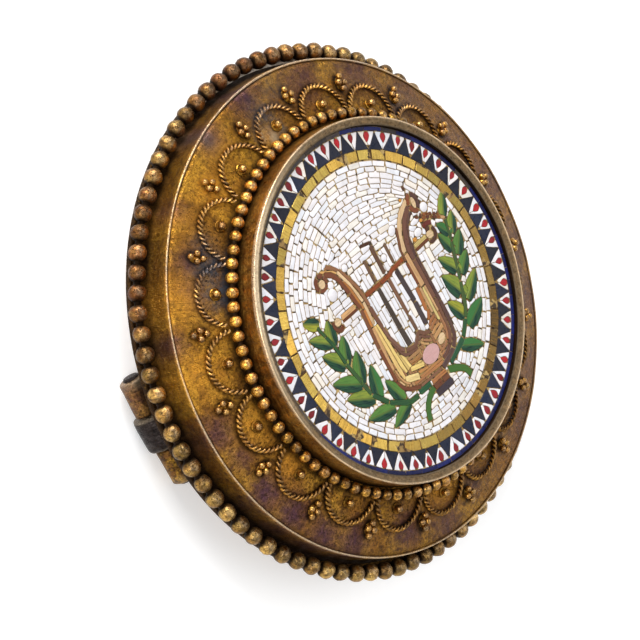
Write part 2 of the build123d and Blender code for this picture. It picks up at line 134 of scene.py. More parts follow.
class Recipe:
    """The steps of a finish, written into one node tree."""

    def __init__(self, tree):
        self.tree = tree

    def fill(self, sockets, values):
        """Wires each named socket to a node's output, or sets it to a constant."""
        for name, value in values.items():
            if isinstance(value, bpy.types.NodeSocket):
                self.tree.links.new(value, sockets[name])
            else:
                sockets[name].default_value = value

    def feed(self, sockets, **values):
        """The same for names given as words, with _ for a space."""
        self.fill(sockets, {name.replace("_", " "): value for name, value in values.items()})

    def add(self, kind, inputs=None, **settings):
        """The outputs of a new node with its settings and its inputs filled."""
        made = self.tree.nodes.new("ShaderNode" + kind)
        for name, value in settings.items():
            setattr(made, name, value)
        self.fill(made.inputs, inputs or {})
        return made.outputs

    def sum(self, operation, first, second=0.0, third=0.0, clamp=False):
        """One step of arithmetic."""
        return self.add("Math", {0: first, 1: second, 2: third}, operation=operation, use_clamp=clamp)[0]

    times = partialmethod(sum, "MULTIPLY")
    plus = partialmethod(sum, "ADD")
    less = partialmethod(sum, "SUBTRACT")

    def mix(self, factor, first, second, blend="MIX"):
        """First colour at factor 0, second at factor 1."""
        return self.add("Mix", {0: factor, 6: first, 7: second}, data_type="RGBA", blend_type=blend)[2]

    def shade(self, colour, value):
        """A colour made darker or lighter by a value."""
        grey = self.add("CombineColor", {0: value, 1: value, 2: value})[0]
        return self.mix(1.0, colour, grey, "MULTIPLY")

    def spread(self, value, low, high, to_low=0.0, to_high=1.0):
        """Stretches the range low to high to a new range, with soft ends."""
        inputs = {"Value": value, "From Min": low, "From Max": high, "To Min": to_low, "To Max": to_high}
        return self.add("MapRange", inputs, interpolation_type="SMOOTHSTEP")["Result"]

    def cloud(self, place, scale, detail=3.0, roughness=0.55, distortion=0.0):
        """Noise with about `scale` lumps in a millimetre."""
        inputs = {"Vector": place, "Scale": scale, "Detail": detail, "Roughness": roughness}
        return self.add("TexNoise", {**inputs, "Distortion": distortion})["Fac"]

    def drawn_cloud(self, grain, along, across, detail=4.0, roughness=0.55):
        """Noise with few lumps along a piece and many across it."""
        place = self.add("Mapping", {"Vector": grain, "Scale": (along, across, 1.0)})[0]
        return self.cloud(place, 1.0, detail, roughness)

    def object_place(self):
        """Object coordinates in millimetres."""
        place = self.add("TexCoord")["Object"]
        return self.add("VectorMath", {0: place, 1: (1 / mm,) * 3}, operation="MULTIPLY")[0]

    def grain_place(self):
        """The grain map: millimetres along and across the piece."""
        return self.add("UVMap", uv_map="grain")["UV"]

    def marked(self, name, output="Fac"):
        """A value or colour that was painted on the mesh."""
        return self.add("Attribute", attribute_name=name)[output]

    def group(self, shared, **values):
        """The outputs of a shared effect with this finish's own values."""
        return self.add("Group", values, node_tree=shared.tree)

    def surface(self, shader, height, depth_mm, **values):
        """Feeds a shader a bump of that depth, and its colour and roughness."""
        bump = self.add("Bump", {"Height": height, "Distance": depth_mm * mm, "Strength": 1.0})
        self.feed(shader, Normal=bump["Normal"], **values)


def new_group(name, inputs, outputs):
    """An empty group: its recipe, what it is given and what it puts out."""
    tree = bpy.data.node_groups.new(name, "ShaderNodeTree")
    for way, sockets in (("INPUT", inputs), ("OUTPUT", outputs)):
        for label, kind in sockets.items():
            tree.interface.new_socket(label, in_out=way, socket_type="NodeSocket" + kind)
    return Recipe(tree), tree.nodes.new("NodeGroupInput").outputs, tree.nodes.new("NodeGroupOutput").inputs


def new_material(name, **constants):
    """A material, its recipe and its shader's sockets, the constant ones set."""
    material = bpy.data.materials.new(name)
    material.use_nodes = True
    recipe = Recipe(material.node_tree)
    shader = material.node_tree.nodes["Principled BSDF"].inputs
    recipe.feed(shader, **constants)
    return material, recipe, shader


print("white in linear values:", srgb(255, 255, 255))


# %% [markdown]
# ## The patina group
#
# Old gilding goes amber, brown and, where heat or handling reached it, purple and blue. Three
# ways come to mind: a painted picture, layered materials, or one node group that mixes a clean
# and an aged colour by noise. The group wins, because each metal piece can use it with its own
# colours. It takes a crevice mark and a rub mark that are painted on the meshes. The crevice
# mark darkens the metal both as dirt and as painted shade in hollows and under parts. The rub
# mark lightens it as wear, and on the collet's bevel as a painted highlight.

# %% Patina, shared by all metal
surface_outputs = {"Color": "Color", "Roughness": "Float", "Height": "Float"}
patina, given, result = new_group(
    "patina",
    {
        "Place": "Vector", "Clean": "Color", "Warm": "Color", "Dark": "Color", "Stain": "Color",
        "Patches": "Float", "Stained": "Float", "Crevice": "Float", "Rubbed": "Float", "Roughness": "Float",
    },
    surface_outputs,
)
broad = patina.cloud(given["Place"], given["Patches"], 5.0, 0.62, 0.7)
mottle = patina.cloud(given["Place"], 1.9, 5.0, 0.65, 0.4)
speckle = patina.cloud(given["Place"], 6.5, 4.0, 0.7)
colour = patina.mix(patina.spread(broad, 0.36, 0.62), given["Clean"], given["Warm"])
colour = patina.mix(patina.spread(mottle, 0.44, 0.7, 0.0, 0.85), colour, given["Dark"])
edge_of_stain = patina.sum("MULTIPLY_ADD", mottle, 0.9, -0.45)
stain = patina.plus(given["Stained"], patina.times(edge_of_stain, given["Stained"]), clamp=True)
colour = patina.mix(stain, colour, given["Stain"])
# dirt_and_shade: dirt, and painted shade where the crevice mark is high
dirt_and_shade = patina.plus(given["Crevice"], patina.times(patina.spread(speckle, 0.3, 0.7), 0.35))
dirt_and_shade = patina.times(dirt_and_shade, given["Crevice"], clamp=True)
pits = patina.spread(speckle, 0.54, 0.64)
uneven = patina.spread(patina.cloud(given["Place"], 3.6, 6.0, 0.78), 0.36, 0.64, 0.62, 1.2)
colour = patina.mix(dirt_and_shade, patina.shade(colour, uneven), srgb(36, 25, 16))
colour = patina.mix(patina.times(pits, 0.62), colour, srgb(48, 32, 18))
bright = patina.times(given["Rubbed"], patina.spread(mottle, 0.25, 0.55, 0.6, 1.0))
colour = patina.mix(bright, colour, srgb(244, 220, 184))
roughness = patina.plus(given["Roughness"], patina.times(mottle, 0.24))
roughness = patina.plus(roughness, patina.times(dirt_and_shade, 0.3))
roughness = patina.less(roughness, patina.times(bright, 0.08), clamp=True)
fine = patina.spread(patina.cloud(given["Place"], 9.0, roughness=0.7), 0.36, 0.62, -0.1, 0.14)
lumps = patina.plus(patina.times(mottle, 0.7), patina.times(speckle, 0.3))
patina.feed(
    result, Color=colour, Roughness=patina.plus(roughness, fine, clamp=True),
    Height=patina.less(lumps, patina.times(pits, 0.5)),
)
print("patina nodes:", len(patina.tree.nodes))


# %% [markdown]
# ## The brush-line group
#
# Files, burnishers and cloth leave fine lines along a piece. A stretched noise on the grain map
# is enough: long lumps along u, short ones across v. The group puts out a height and a mask.

# %% Brush lines, shared by turned and filed pieces
brush_lines, given, result = new_group(
    "brush lines", {"Grain": "Vector"}, {"Height": "Float", "Mask": "Float"}
)
fine_lines = brush_lines.drawn_cloud(given["Grain"], 0.35, 16.0)
long_lines = brush_lines.drawn_cloud(given["Grain"], 0.12, 5.0, 3.0)
height = brush_lines.plus(fine_lines, brush_lines.times(long_lines, 0.6))
brush_lines.feed(result, Height=height, Mask=brush_lines.spread(fine_lines, 0.45, 0.7))
print("brush line nodes:", len(brush_lines.tree.nodes))


# %% [markdown]
# ## Metal finishes
#
# One function makes each metal from the two groups. A finish differs in its clean and aged
# colours, in how broad its patches are and in how strong the lumps and lines stand.

# %% Making a metal
def metal_finish(
    name, clean, warm, dark, patches, lumps_mm, smooth, lines=0.0, stain=(92, 62, 70), toned=False, tints=()
):
    """Aged gilt metal. tints are pairs of a painted mark and the colour that it brings."""
    material, recipe, shader = new_material(name, Metallic=1.0)
    place = recipe.object_place()
    old = recipe.group(
        patina, Place=place, Clean=srgb(*clean), Warm=srgb(*warm), Dark=srgb(*dark), Stain=srgb(*stain),
        Patches=patches, Roughness=smooth, Stained=recipe.marked("stained"),
        Crevice=recipe.marked("crevice"), Rubbed=recipe.marked("rubbed"),
    )
    colour = old["Color"]
    height = old["Height"]
    for mark, tint in tints:
        broken = recipe.spread(recipe.cloud(place, 2.2, 5.0, 0.65), 0.3, 0.62, 0.35, 1.0)
        colour = recipe.mix(recipe.times(recipe.marked(mark), broken), colour, srgb(*tint))
    # the tone mark holds random tone and, on the rows of grains, painted light and shade
    if toned:
        colour = recipe.shade(colour, recipe.spread(recipe.marked("tone"), 0.0, 1.0, 0.45, 1.65))
    if lines:
        brushed = recipe.group(brush_lines, Grain=recipe.grain_place())
        height = recipe.plus(height, recipe.times(brushed["Height"], lines))
        colour = recipe.mix(recipe.times(brushed["Mask"], 0.35), colour, srgb(*dark))
    recipe.surface(shader, height, lumps_mm, Base_Color=colour, Roughness=old["Roughness"])
    return material


blue_tint = ("blued", (66, 76, 88))
gilt_sheet = metal_finish(
    "gilt_sheet", (200, 148, 54), (158, 108, 40), (88, 60, 36), 0.32, 0.075, 0.22, lines=0.5,
    # the painted_sheen tint paints highlights; blued and chalk are stains
    tints=(("painted_sheen", (228, 158, 56)), blue_tint, ("chalk", (190, 172, 142))),
)
gilt_collet = metal_finish(
    "gilt_collet", (184, 134, 60), (146, 98, 40), (88, 58, 30), 0.3, 0.03, 0.26, lines=0.8,
    stain=(140, 120, 92),
)
gilt_rim = metal_finish(
    "gilt_rim", (196, 158, 86), (150, 110, 54), (66, 46, 30), 0.6, 0.085, 0.16, stain=(126, 66, 34),
    toned=True,
)
gilt_grain = metal_finish(
    "gilt_grain", (212, 158, 62), (168, 114, 42), (78, 52, 26), 0.7, 0.06, 0.14, toned=True
)
gilt_wire = metal_finish(
    "gilt_wire", (196, 144, 62), (156, 106, 44), (86, 58, 30), 0.6, 0.03, 0.26, tints=(blue_tint,)
)
gilt_back = metal_finish(
    "gilt_back", (196, 148, 70), (160, 110, 52), (100, 70, 42), 0.2, 0.04, 0.24, lines=0.6,
    tints=(("pale", (234, 228, 216)),),
)
brown_metal = metal_finish(
    "brown_metal", (64, 57, 55), (46, 39, 38), (18, 15, 15), 0.7, 0.13, 0.22, lines=1.0
)
strap_metal = metal_finish(
    "strap_metal", (188, 142, 52), (122, 82, 42), (34, 25, 20), 0.9, 0.14, 0.18, lines=0.8,
    stain=(112, 74, 60),
)
print("metals:", len(bpy.data.materials))


# %% [markdown]
# ## Helpers for meshes
#
# Turned pieces are half sections spun about the brooch's axis. Each finished mesh gets its marks,
# is scaled to metres once, and is shaded smooth with its sharp corners kept.

# %% Turning and finishing a mesh
def lathe(profile, steps, closed=True):
    """A ring or disc from a half section of (radius, height) points."""
    bm = bmesh.new()
    verts = [bm.verts.new((radius, 0.0, height)) for radius, height in profile]
    pairs = list(zip(verts, verts[1:]))
    if closed:
        pairs.append((verts[-1], verts[0]))
    edges = [bm.edges.new(pair) for pair in pairs]
    bmesh.ops.spin(
        bm, geom=verts + edges, cent=(0, 0, 0), axis=(0, 0, 1), angle=math.tau, steps=steps, use_merge=True
    )
    bmesh.ops.remove_doubles(bm, verts=bm.verts, dist=0.0002)
    bmesh.ops.recalc_face_normals(bm, faces=bm.faces)
    return bm


def wrap_grain(bm, radius, across=False):
    """Lays the grain map round the z axis: u runs round the piece, or across it, and v the other way."""
    layer = bm.loops.layers.uv.new("grain")
    for face in bm.faces:
        middle = face.calc_center_median()
        middle_angle = math.atan2(middle.y, middle.x)
        for loop in face.loops:
            x, y, z = loop.vert.co
            angle = math.atan2(y, x)
            angle += math.tau * round((middle_angle - angle) / math.tau)
            place = (angle * radius, math.hypot(x, y) + 0.37 * z)
            loop[layer].uv = place[::-1] if across else place


def arc(centre, radius, start_deg, end_deg, count):
    """Points along an arc, both ends included."""
    points = []
    for index in range(count):
        angle = math.radians(start_deg + (end_deg - start_deg) * index / (count - 1))
        points.append((centre[0] + radius * math.cos(angle), centre[1] + radius * math.sin(angle)))
    return points


def dent(bm, size_mm, depth_mm, seed):
    """Moves each point a little along its normal, as hand work leaves it."""
    bm.normal_update()
    shift = Vector((seed * 7.1, seed * 3.3, seed * 5.7))
    for vert in bm.verts:
        vert.co += vert.normal * noise.noise(vert.co / size_mm + shift) * depth_mm
        vert.co.z = max(vert.co.z, 0)


def as_mesh(bm, name):
    """A bmesh turned into a mesh."""
    mesh = bpy.data.meshes.new(name)
    bm.to_mesh(mesh)
    bm.free()
    return mesh


def points_of(mesh):
    """A mesh's points, one x, y and z in each row."""
    points = np.zeros(len(mesh.vertices) * 3)
    mesh.vertices.foreach_get("co", points)
    return points.reshape(-1, 3)


def in_scene(name, data):
    """A new object in the scene."""
    made = bpy.data.objects.new(name, data)
    scene.collection.objects.link(made)
    return made


def finish_piece(bm, name, material, nodes, body="brooch", sharp_deg=38.0, marks=None):
    """Turns a bmesh in millimetres into a finished piece that rides on its body."""
    mesh = as_mesh(bm, name)
    points = points_of(mesh)
    for mark, rule in (marks or {}).items():
        layer = mesh.attributes.new(mark, "FLOAT", "POINT")
        layer.data.foreach_set("value", np.clip(rule(points), 0, 1).astype(np.float32))
    mesh.transform(Matrix.Scale(mm, 4))
    mesh.shade_smooth()
    mesh.set_sharp_from_angle(angle=math.radians(sharp_deg))
    mesh.materials.append(material)
    piece = in_scene(name, mesh)
    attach(piece, body)
    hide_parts(*nodes)
    print(name, "faces:", len(mesh.polygons))


def from_axis(points):
    """Distance of points from the brooch's axis."""
    return np.hypot(points[:, 0], points[:, 1])


def round_axis(points):
    """Angle of points round the brooch's axis, in degrees."""
    return np.degrees(np.arctan2(points[:, 1], points[:, 0]))


def soft_step(values, low, high):
    """0 below low, 1 above high and smooth between."""
    part = np.clip((values - low) / (high - low), 0, 1)
    return part * part * (3 - 2 * part)


def bump_at(values, centre, width):
    """A soft hill of height 1 round a value."""
    return np.exp(-(((values - centre) / width) ** 2))


# %% [markdown]
# ## Scallops and grains: where they stand
#
# Nineteen arches of twisted wire stand round the collet, with a grain in each and four grains at
# each cusp. The flange needs their places too, because dirt gathers round soldered work and
# painted shade is laid there too. One function looks at any point from its nearest arch, so the
# dirt, the painted shade and the wire agree.

# %% Places on the flange
scallop_count = 19
scallop_start_deg = 90.0
scallop_centre_radius = 13.5
scallop_radius = 2.06
scallop_foot_deg = 1.0
rope_radius = 0.205
grain_row_radius = 14.1
grain_radius = 0.27
halo_radius = 0.37
cluster_row_radius = 15.5
cluster_long_half = 0.47
cluster_short_half = 0.27
cluster_grain_radius = 0.245
scallop_step_deg = 360.0 / scallop_count


def flange_level(radius):
    """Height of the flange's face at a radius."""
    return flange_edge_level + (flange_edge_radius - radius) * flange_rise


def above_flange(points):
    """Height of points over the flange's face."""
    return points[:, 2] - flange_level(from_axis(points))


def seen_from_scallop(points, half_steps):
    """Each point's distance out and sideways, seen from the nearest scallop or cusp."""
    steps = (round_axis(points) - scallop_start_deg) / scallop_step_deg
    off = (steps - half_steps / 2 + 0.5) % 1.0 - 0.5
    angle = np.radians(off * scallop_step_deg)
    return from_axis(points) * np.cos(angle), from_axis(points) * np.sin(angle), off


def dirt_and_shade_round_work(points):
    """Crevice mark of dirt and painted shade on the flange: along the wires, round the grains and at the
    bead rows.
    """
    radius = from_axis(points)
    out, side, off = seen_from_scallop(points, 0)
    mark = 0.9 * bump_at(radius, small_row_radius, 0.55)
    for neighbour in (-1, 0, 1):
        angle = np.radians((off - neighbour) * scallop_step_deg)
        along = radius * np.cos(angle) - scallop_centre_radius
        across = radius * np.sin(angle)
        on_arch = soft_step(np.degrees(np.arctan2(along, np.abs(across))), -8, 6)
        mark = np.maximum(mark, on_arch * bump_at(np.hypot(along, across), scallop_radius, 0.32))
    mark = np.maximum(mark, 0.45 * bump_at(np.hypot(out - grain_row_radius, side), halo_radius, 0.14))
    out, side, off = seen_from_scallop(points, 1)
    mark = np.maximum(mark, 0.95 * bump_at(np.hypot((out - cluster_row_radius) / 1.5, side), 0.35, 0.28))
    return np.maximum(mark, 0.9 * bump_at(radius, flange_edge_radius - 0.2, 0.07))


print("scallops:", scallop_count, "every", round(scallop_step_deg, 2), "degrees")


# %% [markdown]
# ## Stains on the flange
#
# The old surface isn't even: it is purple low on the left, blue-grey round the arches at the upper
# left and brown towards the right, where the brown is partly painted shade. Golden spots, most of
# them on the left, are painted highlights. A picture would hold this, but a short table of soft
# spots does it too. Each spot has its angle and radius on the flange, its spread and its strength.

# %% Stain spots
stain_spots = {
    "stained": [
        (180, 16.5, 1.3, 0.8), (-172, 16.2, 1.0, 0.7), (-161, 16.4, 1.4, 1.0), (-152, 16.4, 1.4, 1.0),
        (-141, 16.7, 1.5, 0.9), (-132, 16.5, 1.6, 0.9), (-114, 15.6, 1.6, 0.9), (-100, 16.4, 1.8, 0.8),
        (139, 15.9, 1.0, 0.8), (146, 15.8, 0.9, 0.7), (92, 17.0, 1.4, 0.95), (107, 17.0, 1.1, 1.0),
        # from (74, ...) on: brown over the right side, stain and painted shade
        (158, 17.3, 0.9, 0.8), (128, 17.1, 0.8, 0.75), (74, 16.2, 2.0, 0.7), (55, 16.6, 2.2, 0.7),
        (36, 16.4, 2.0, 0.6), (19, 15.4, 2.4, 0.7), (3, 16.8, 2.4, 0.7), (-14, 16.4, 2.4, 0.7),
        (-29, 16.5, 2.4, 0.7), (-45, 16.5, 2.2, 0.6), (-60, 16.4, 2.4, 0.6), (-85, 15.0, 1.6, 0.6),
    ],
    "blued": [
        (140, 14.4, 1.3, 1.0), (146, 13.9, 1.4, 1.0), (134, 15.0, 0.9, 0.6), (91, 15.1, 1.2, 0.8),
        (84, 16.2, 1.2, 0.5), (40, 14.6, 1.6, 0.4), (-20, 14.4, 2.0, 0.6), (-42, 14.2, 1.6, 0.4),
        (108, 16.9, 0.7, 0.7),
    ],
    # painted_sheen: painted highlights, golden spots where the flange is lit
    "painted_sheen": [
        (119, 15.1, 1.4, 0.7), (148, 16.4, 1.6, 0.62), (165, 16.0, 1.6, 0.62), (108, 16.2, 1.4, 0.4),
        (-176, 14.2, 1.2, 0.6), (130, 16.8, 1.2, 0.4), (-160, 14.0, 1.0, 0.6), (-100, 14.0, 1.2, 0.5),
        (95, 14.0, 0.8, 0.6), (156, 14.0, 0.9, 0.5),
    ],
    "chalk": [(93, 13.7, 0.45, 0.85), (96, 14.3, 0.5, 0.6), (89, 13.8, 0.35, 0.5)],
}


def spotted(spots):
    """A rule for spots that are given by angle in degrees, radius, spread in mm and strength."""
    def rule(points):
        mark = np.zeros(len(points))
        for angle_deg, radius, width_mm, strength in spots:
            angle = math.radians(angle_deg)
            across = points[:, 0] - radius * math.cos(angle)
            along = points[:, 1] - radius * math.sin(angle)
            mark = np.maximum(mark, strength * bump_at(np.hypot(across, along), 0, width_mm))
        return mark
    return rule


stain_rules = {mark: spotted(spots) for mark, spots in stain_spots.items()}
print("stain spots:", sum(len(spots) for spots in stain_spots.values()))


# %% [markdown]
# ## Frame: side wall and flange
#
# The real frame is one sheet, spun or raised: a hollowed side wall, a bright rolled lip and a
# flange that climbs to the collet. A lathe makes it in one go from a half section. The flange has
# many rings, so that the marks of dirt and stain have enough points to sit on.

# %% Turning the frame
ring_steps = 420
flange_rings = 24
lip_radius = 0.09
wall_rings = 10
groove_radius = flange_edge_radius - 0.24


def frame_profile():
    """Half section of the frame, from the outer foot round to the inner foot."""
    outside = []
    for index in range(wall_rings + 1):
        part = index / wall_rings
        hollow = wall_cove * math.sin(math.pi * part)
        radius = wall_foot_radius + (flange_edge_radius - wall_foot_radius) * part - hollow
        outside.append((radius, wall_foot_level + (flange_edge_level - 0.2 - wall_foot_level) * part))
    lip = arc((flange_edge_radius - lip_radius, flange_edge_level - 0.02), lip_radius, -10, 150, 7)
    groove_level = flange_level(groove_radius)
    groove = [(groove_radius + 0.03, groove_level - 0.07), (groove_radius - 0.03, groove_level - 0.05)]
    start = groove_radius - 0.1
    reach = flange_inner_radius - start
    radii = [start + reach * index / flange_rings for index in range(flange_rings + 1)]
    inner_top = flange_edge_radius - wall_thickness
    inside = [
        (flange_inner_radius, flange_inner_level - 0.42),
        (inner_top, flange_level(inner_top) - 0.42),
        (inner_top - wall_cove, (wall_foot_level + flange_edge_level) / 2),
        (wall_foot_radius - wall_thickness, wall_foot_level),
    ]
    return outside + lip + groove + [(radius, flange_level(radius)) for radius in radii] + inside


def frame_rubbed(points):
    """Rub mark along the lip."""
    on_top = soft_step(points[:, 2], flange_edge_level - 0.02, flange_edge_level + 0.06)
    return 0.75 * bump_at(from_axis(points), flange_edge_radius - 0.06, 0.05) * on_top


def frame_crevice(points):
    """Dirt and painted shade round the soldered work, and down the side wall, darkest at its foot."""
    foot = 1 - soft_step(points[:, 2], wall_foot_level + 0.3, wall_foot_level + 1.5)
    on_wall = (from_axis(points) > flange_edge_radius - 0.35) & (points[:, 2] < flange_edge_level - 0.1)
    return np.where(on_wall, 0.75 * foot + 0.3, dirt_and_shade_round_work(points))


frame_mesh = lathe(frame_profile(), ring_steps)
wrap_grain(frame_mesh, flange_edge_radius, across=True)
dent(frame_mesh, 3.0, 0.035, 1)
finish_piece(
    frame_mesh, "frame_sheet", gilt_sheet, ["frame"], sharp_deg=60,
    marks={"crevice": frame_crevice, "rubbed": frame_rubbed, **stain_rules},
)


# %% [markdown]
# ## Back plate
#
# A plain disc closes the back. Its rim shows as pale metal between the large grains, and its back
# carries the pin. The disc is a lathe with a rounded edge, and its hand-filed surface is bump.

# %% Turning the back plate
edge_round = 0.12
plate_profile = [(0.0, plate_bottom)]
plate_profile += [(radius, plate_bottom) for radius in (4.0, 8.0, 12.0, 16.0)]
plate_profile += arc((plate_radius - edge_round, plate_bottom + edge_round), edge_round, -90, 0, 4)
plate_profile += arc((plate_radius - edge_round, plate_top - edge_round), edge_round, 0, 90, 4)
plate_profile += [(radius, plate_top) for radius in (18.0, 17.8, 17.5, 17.2, 16.0, 8.0)]
plate_profile += [(0.0, plate_top)]
plate_mesh = lathe(plate_profile, 180, closed=False)
wrap_grain(plate_mesh, 8.0)


def plate_pale(points):
    """The pale stretch of the plate that shows between the grains at the upper left."""
    on_face = (from_axis(points) < plate_radius - 0.3) & (points[:, 2] > plate_top - 0.1)
    return bump_at(round_axis(points), 82, 34) * on_face


def plate_crevice(points):
    """Dirt and painted shade along the plate's edge and on its upper face, where it isn't pale."""
    edge = 0.9 * (from_axis(points) > plate_radius - 0.3)
    upper = 0.8 * (points[:, 2] > plate_top - 0.1)
    return np.maximum(np.maximum(edge, upper) * (1 - plate_pale(points)), 0.25)


finish_piece(
    plate_mesh, "plate_disc", gilt_back, ["back_plate"],
    marks={"crevice": plate_crevice, "pale": plate_pale},
)


# %% [markdown]
# ## Rows of grains
#
# Both rows are beaded wire: grains of metal joined by thin necks. A sphere for each grain is the
# plain way. Here each sphere is also dented, tilted and given its own tone, because worn grains
# aren't alike, and that tone also holds painted light and shade by the grain's angle round the
# row. Dirt and painted shade are marked towards the necks and the foot of each grain.

# %% Beading
bead_space = 0.07


def painted_light_at(angle, painted_light):
    """Painted light and shade at an angle. painted_light holds angles in degrees, their reach and their
    change.
    """
    change = 0.0
    for around_deg, reach_deg, strength in painted_light:
        off = (math.degrees(angle) - around_deg + 180) % 360 - 180
        change += strength * math.exp(-((off / reach_deg) ** 2))
    return change


def beaded_row(row_radius, level, bead_radius, divisions, neck_radius, seed, painted_light):
    """A row of dented grains with their necks."""
    chance = random.Random(seed)
    bm = bmesh.new()
    tone, crevice, rubbed = (bm.verts.layers.float.new(mark) for mark in ("tone", "crevice", "rubbed"))
    count = round(math.tau * row_radius / (2 * bead_radius + bead_space))
    step = math.tau / count
    for index in range(count):
        angle = index * step
        outward = Vector((math.cos(angle), math.sin(angle), 0))
        along = Vector((-math.sin(angle), math.cos(angle), 0))
        centre = outward * row_radius + Vector((0, 0, level))
        size = bead_radius * chance.uniform(0.97, 1.01)
        shift = Vector((chance.uniform(-0.02, 0.02), chance.uniform(-0.02, 0.02), 0))
        tilt = Quaternion(Vector([chance.uniform(-1, 1) for axis in "xyz"]), chance.uniform(0, 3))
        made = bmesh.ops.create_uvsphere(
            bm, u_segments=divisions, v_segments=divisions * 5 // 8, radius=size,
            matrix=Matrix.Translation(centre + shift) @ tilt.to_matrix().to_4x4(),
        )
        shade = 0.4 + 0.17 * noise.noise(centre / 5) + chance.uniform(-0.19, 0.19)
        # the grain's shade: random tone plus painted light and shade by its angle round the row
        shade = min(max(shade + painted_light_at(angle, painted_light), 0), 1)
        for vert in made["verts"]:
            offset = (vert.co - centre) / bead_radius
            wide = noise.noise(vert.co * 1.5 + Vector((seed, 0, 0)))
            fine = noise.noise(vert.co * 5.0 + Vector((0, seed, 0)))
            vert.co += offset * (0.09 * wide + 0.035 * fine - 0.03) * bead_radius
            side = abs(offset.dot(along))
            inward = max(-offset.dot(outward), 0)
            vert[tone] = shade
            # crevice: dirt and painted shade on the grain's sides and underside and on its side facing the
            # wall
            vert[crevice] = min(1.3 * side**3 + 1.1 * max(-offset.z, 0) + 0.9 * inward**2, 1)
            vert[rubbed] = 0.35 * max(offset.z, 0) ** 3 * chance.random()
        half_on = angle + step / 2
        middle = Vector((math.cos(half_on), math.sin(half_on), 0)) * row_radius * math.cos(step / 2)
        turn = Matrix.Rotation(half_on, 4, "Z") @ Matrix.Rotation(math.pi / 2, 4, "X")
        neck = bmesh.ops.create_cone(
            bm, cap_ends=True, segments=10, radius1=neck_radius, radius2=neck_radius, depth=bead_radius,
            matrix=Matrix.Translation(middle + Vector((0, 0, level))) @ turn,
        )
        # the necks get the full crevice mark: dirt and painted shade between the grains
        for vert in neck["verts"]:
            vert[tone] = shade
            vert[crevice] = 1.0
    return bm


def rim_reddened(points):
    """Red-brown grains along the upper left, one more and the next less."""
    angle = round_axis(points)
    bead = np.round(angle / 360 * math.tau * rim_row_radius / (2 * rim_bead_radius + bead_space))
    return (0.5 + 0.4 * np.sin(bead * 12.9898)) * bump_at(angle, 112, 62)


# painted light and shade: grains made lighter or darker by their angle round each row
rim_painted_light = ((112, 55, -0.15), (45, 18, -0.08), (-75, 18, 0.3), (-15, 25, -0.12))
rim_row = beaded_row(rim_row_radius, rim_row_level, rim_bead_radius, 20, 0.25, 11, rim_painted_light)
finish_piece(rim_row, "rim_grains", gilt_rim, ["rim_beads"], marks={"stained": rim_reddened})
small_painted_light = ((105, 20, 0.5), (165, 22, 0.42), (-105, 18, 0.2), (45, 18, -0.14), (-75, 18, -0.1))
small_row = beaded_row(small_row_radius, small_row_level, small_bead_radius, 16, 0.2, 12, small_painted_light)
finish_piece(small_row, "collet_grains", gilt_grain, ["collet_beads"])


# %% [markdown]
# ## Twisted wire arches
#
# Each arch is a rope of two fine wires. A helix is what a spin with a step along its axis gives,
# so a small circle is spun into one strand, and its copy, half a turn on, is the other. The
# straight rope is then bent round each arch and laid on the sloping flange.

# %% Twisting and bending the rope
strand_radius = 0.108
strand_offset = rope_radius - strand_radius
rope_sweep_deg = 180 - 2 * scallop_foot_deg
rope_length = math.radians(rope_sweep_deg) * scallop_radius
rope_turns = 9.0
steps_per_turn = 9


def turn_verts(bm, verts, angle, axis):
    """Turns points about the origin."""
    bmesh.ops.rotate(bm, verts=verts, cent=(0, 0, 0), matrix=Matrix.Rotation(angle, 3, axis))


def straight_rope():
    """Two strands twisted about the x axis, from x = 0."""
    bm = bmesh.new()
    steps = round(rope_turns * steps_per_turn)
    for start_angle in (0, math.pi):
        ring = bmesh.ops.create_circle(bm, segments=7, radius=strand_radius, cap_ends=True)["verts"]
        turn_verts(bm, ring, math.pi / 2, "Y")
        bmesh.ops.translate(bm, verts=ring, vec=(0, 0, strand_offset))
        turn_verts(bm, ring, start_angle, "X")
        faces = list({face for vert in ring for face in vert.link_faces})
        bmesh.ops.spin(
            bm, geom=faces, cent=(0, 0, 0), axis=(1, 0, 0), dvec=(rope_length / steps, 0, 0),
            angle=math.tau * rope_turns, steps=steps,
        )
    bmesh.ops.recalc_face_normals(bm, faces=bm.faces)
    crevice = bm.verts.layers.float.new("crevice")
    for vert in bm.verts:
        off_axis = math.hypot(vert.co.y, vert.co.z) / rope_radius
        low = max(-vert.co.z / rope_radius, 0)
        # crevice: dirt and painted shade between the strands and on the rope's underside
        vert[crevice] = min(max(1.25 - 1.35 * off_axis, 0) + 0.7 * low, 1)
    return as_mesh(bm, "straight rope")


rope = straight_rope()
rope_points = points_of(rope)
chance = random.Random(21)
arches = bmesh.new()
for index in range(scallop_count):
    radius = scallop_radius * chance.uniform(0.975, 1.02)
    lean = math.radians(chance.uniform(-2.5, 2.5))
    squash = chance.uniform(0.95, 1.03)
    angle = rope_points[:, 0] / scallop_radius - math.radians(rope_sweep_deg / 2) + lean
    out = scallop_centre_radius + (radius + rope_points[:, 1]) * np.cos(angle) * squash
    side = (radius + rope_points[:, 1]) * np.sin(angle)
    ring_radius = np.hypot(out, side)
    around = np.arctan2(side, out) + math.radians(scallop_start_deg + index * scallop_step_deg)
    height = flange_level(ring_radius) + rope_radius * 0.9 + rope_points[:, 2]
    bent = np.column_stack([ring_radius * np.cos(around), ring_radius * np.sin(around), height])
    copy = rope.copy()
    copy.vertices.foreach_set("co", bent.ravel())
    arches.from_mesh(copy)
    bpy.data.meshes.remove(copy)
bpy.data.meshes.remove(rope)


def rope_rubbed(points):
    """Bright tops of the rope."""
    return 0.1 * soft_step(above_flange(points), 0.25, 0.36)


finish_piece(
    arches, "scallop_ropes", gilt_wire, ["scallops"],
    marks={"rubbed": rope_rubbed, "blued": stain_rules["blued"]},
)


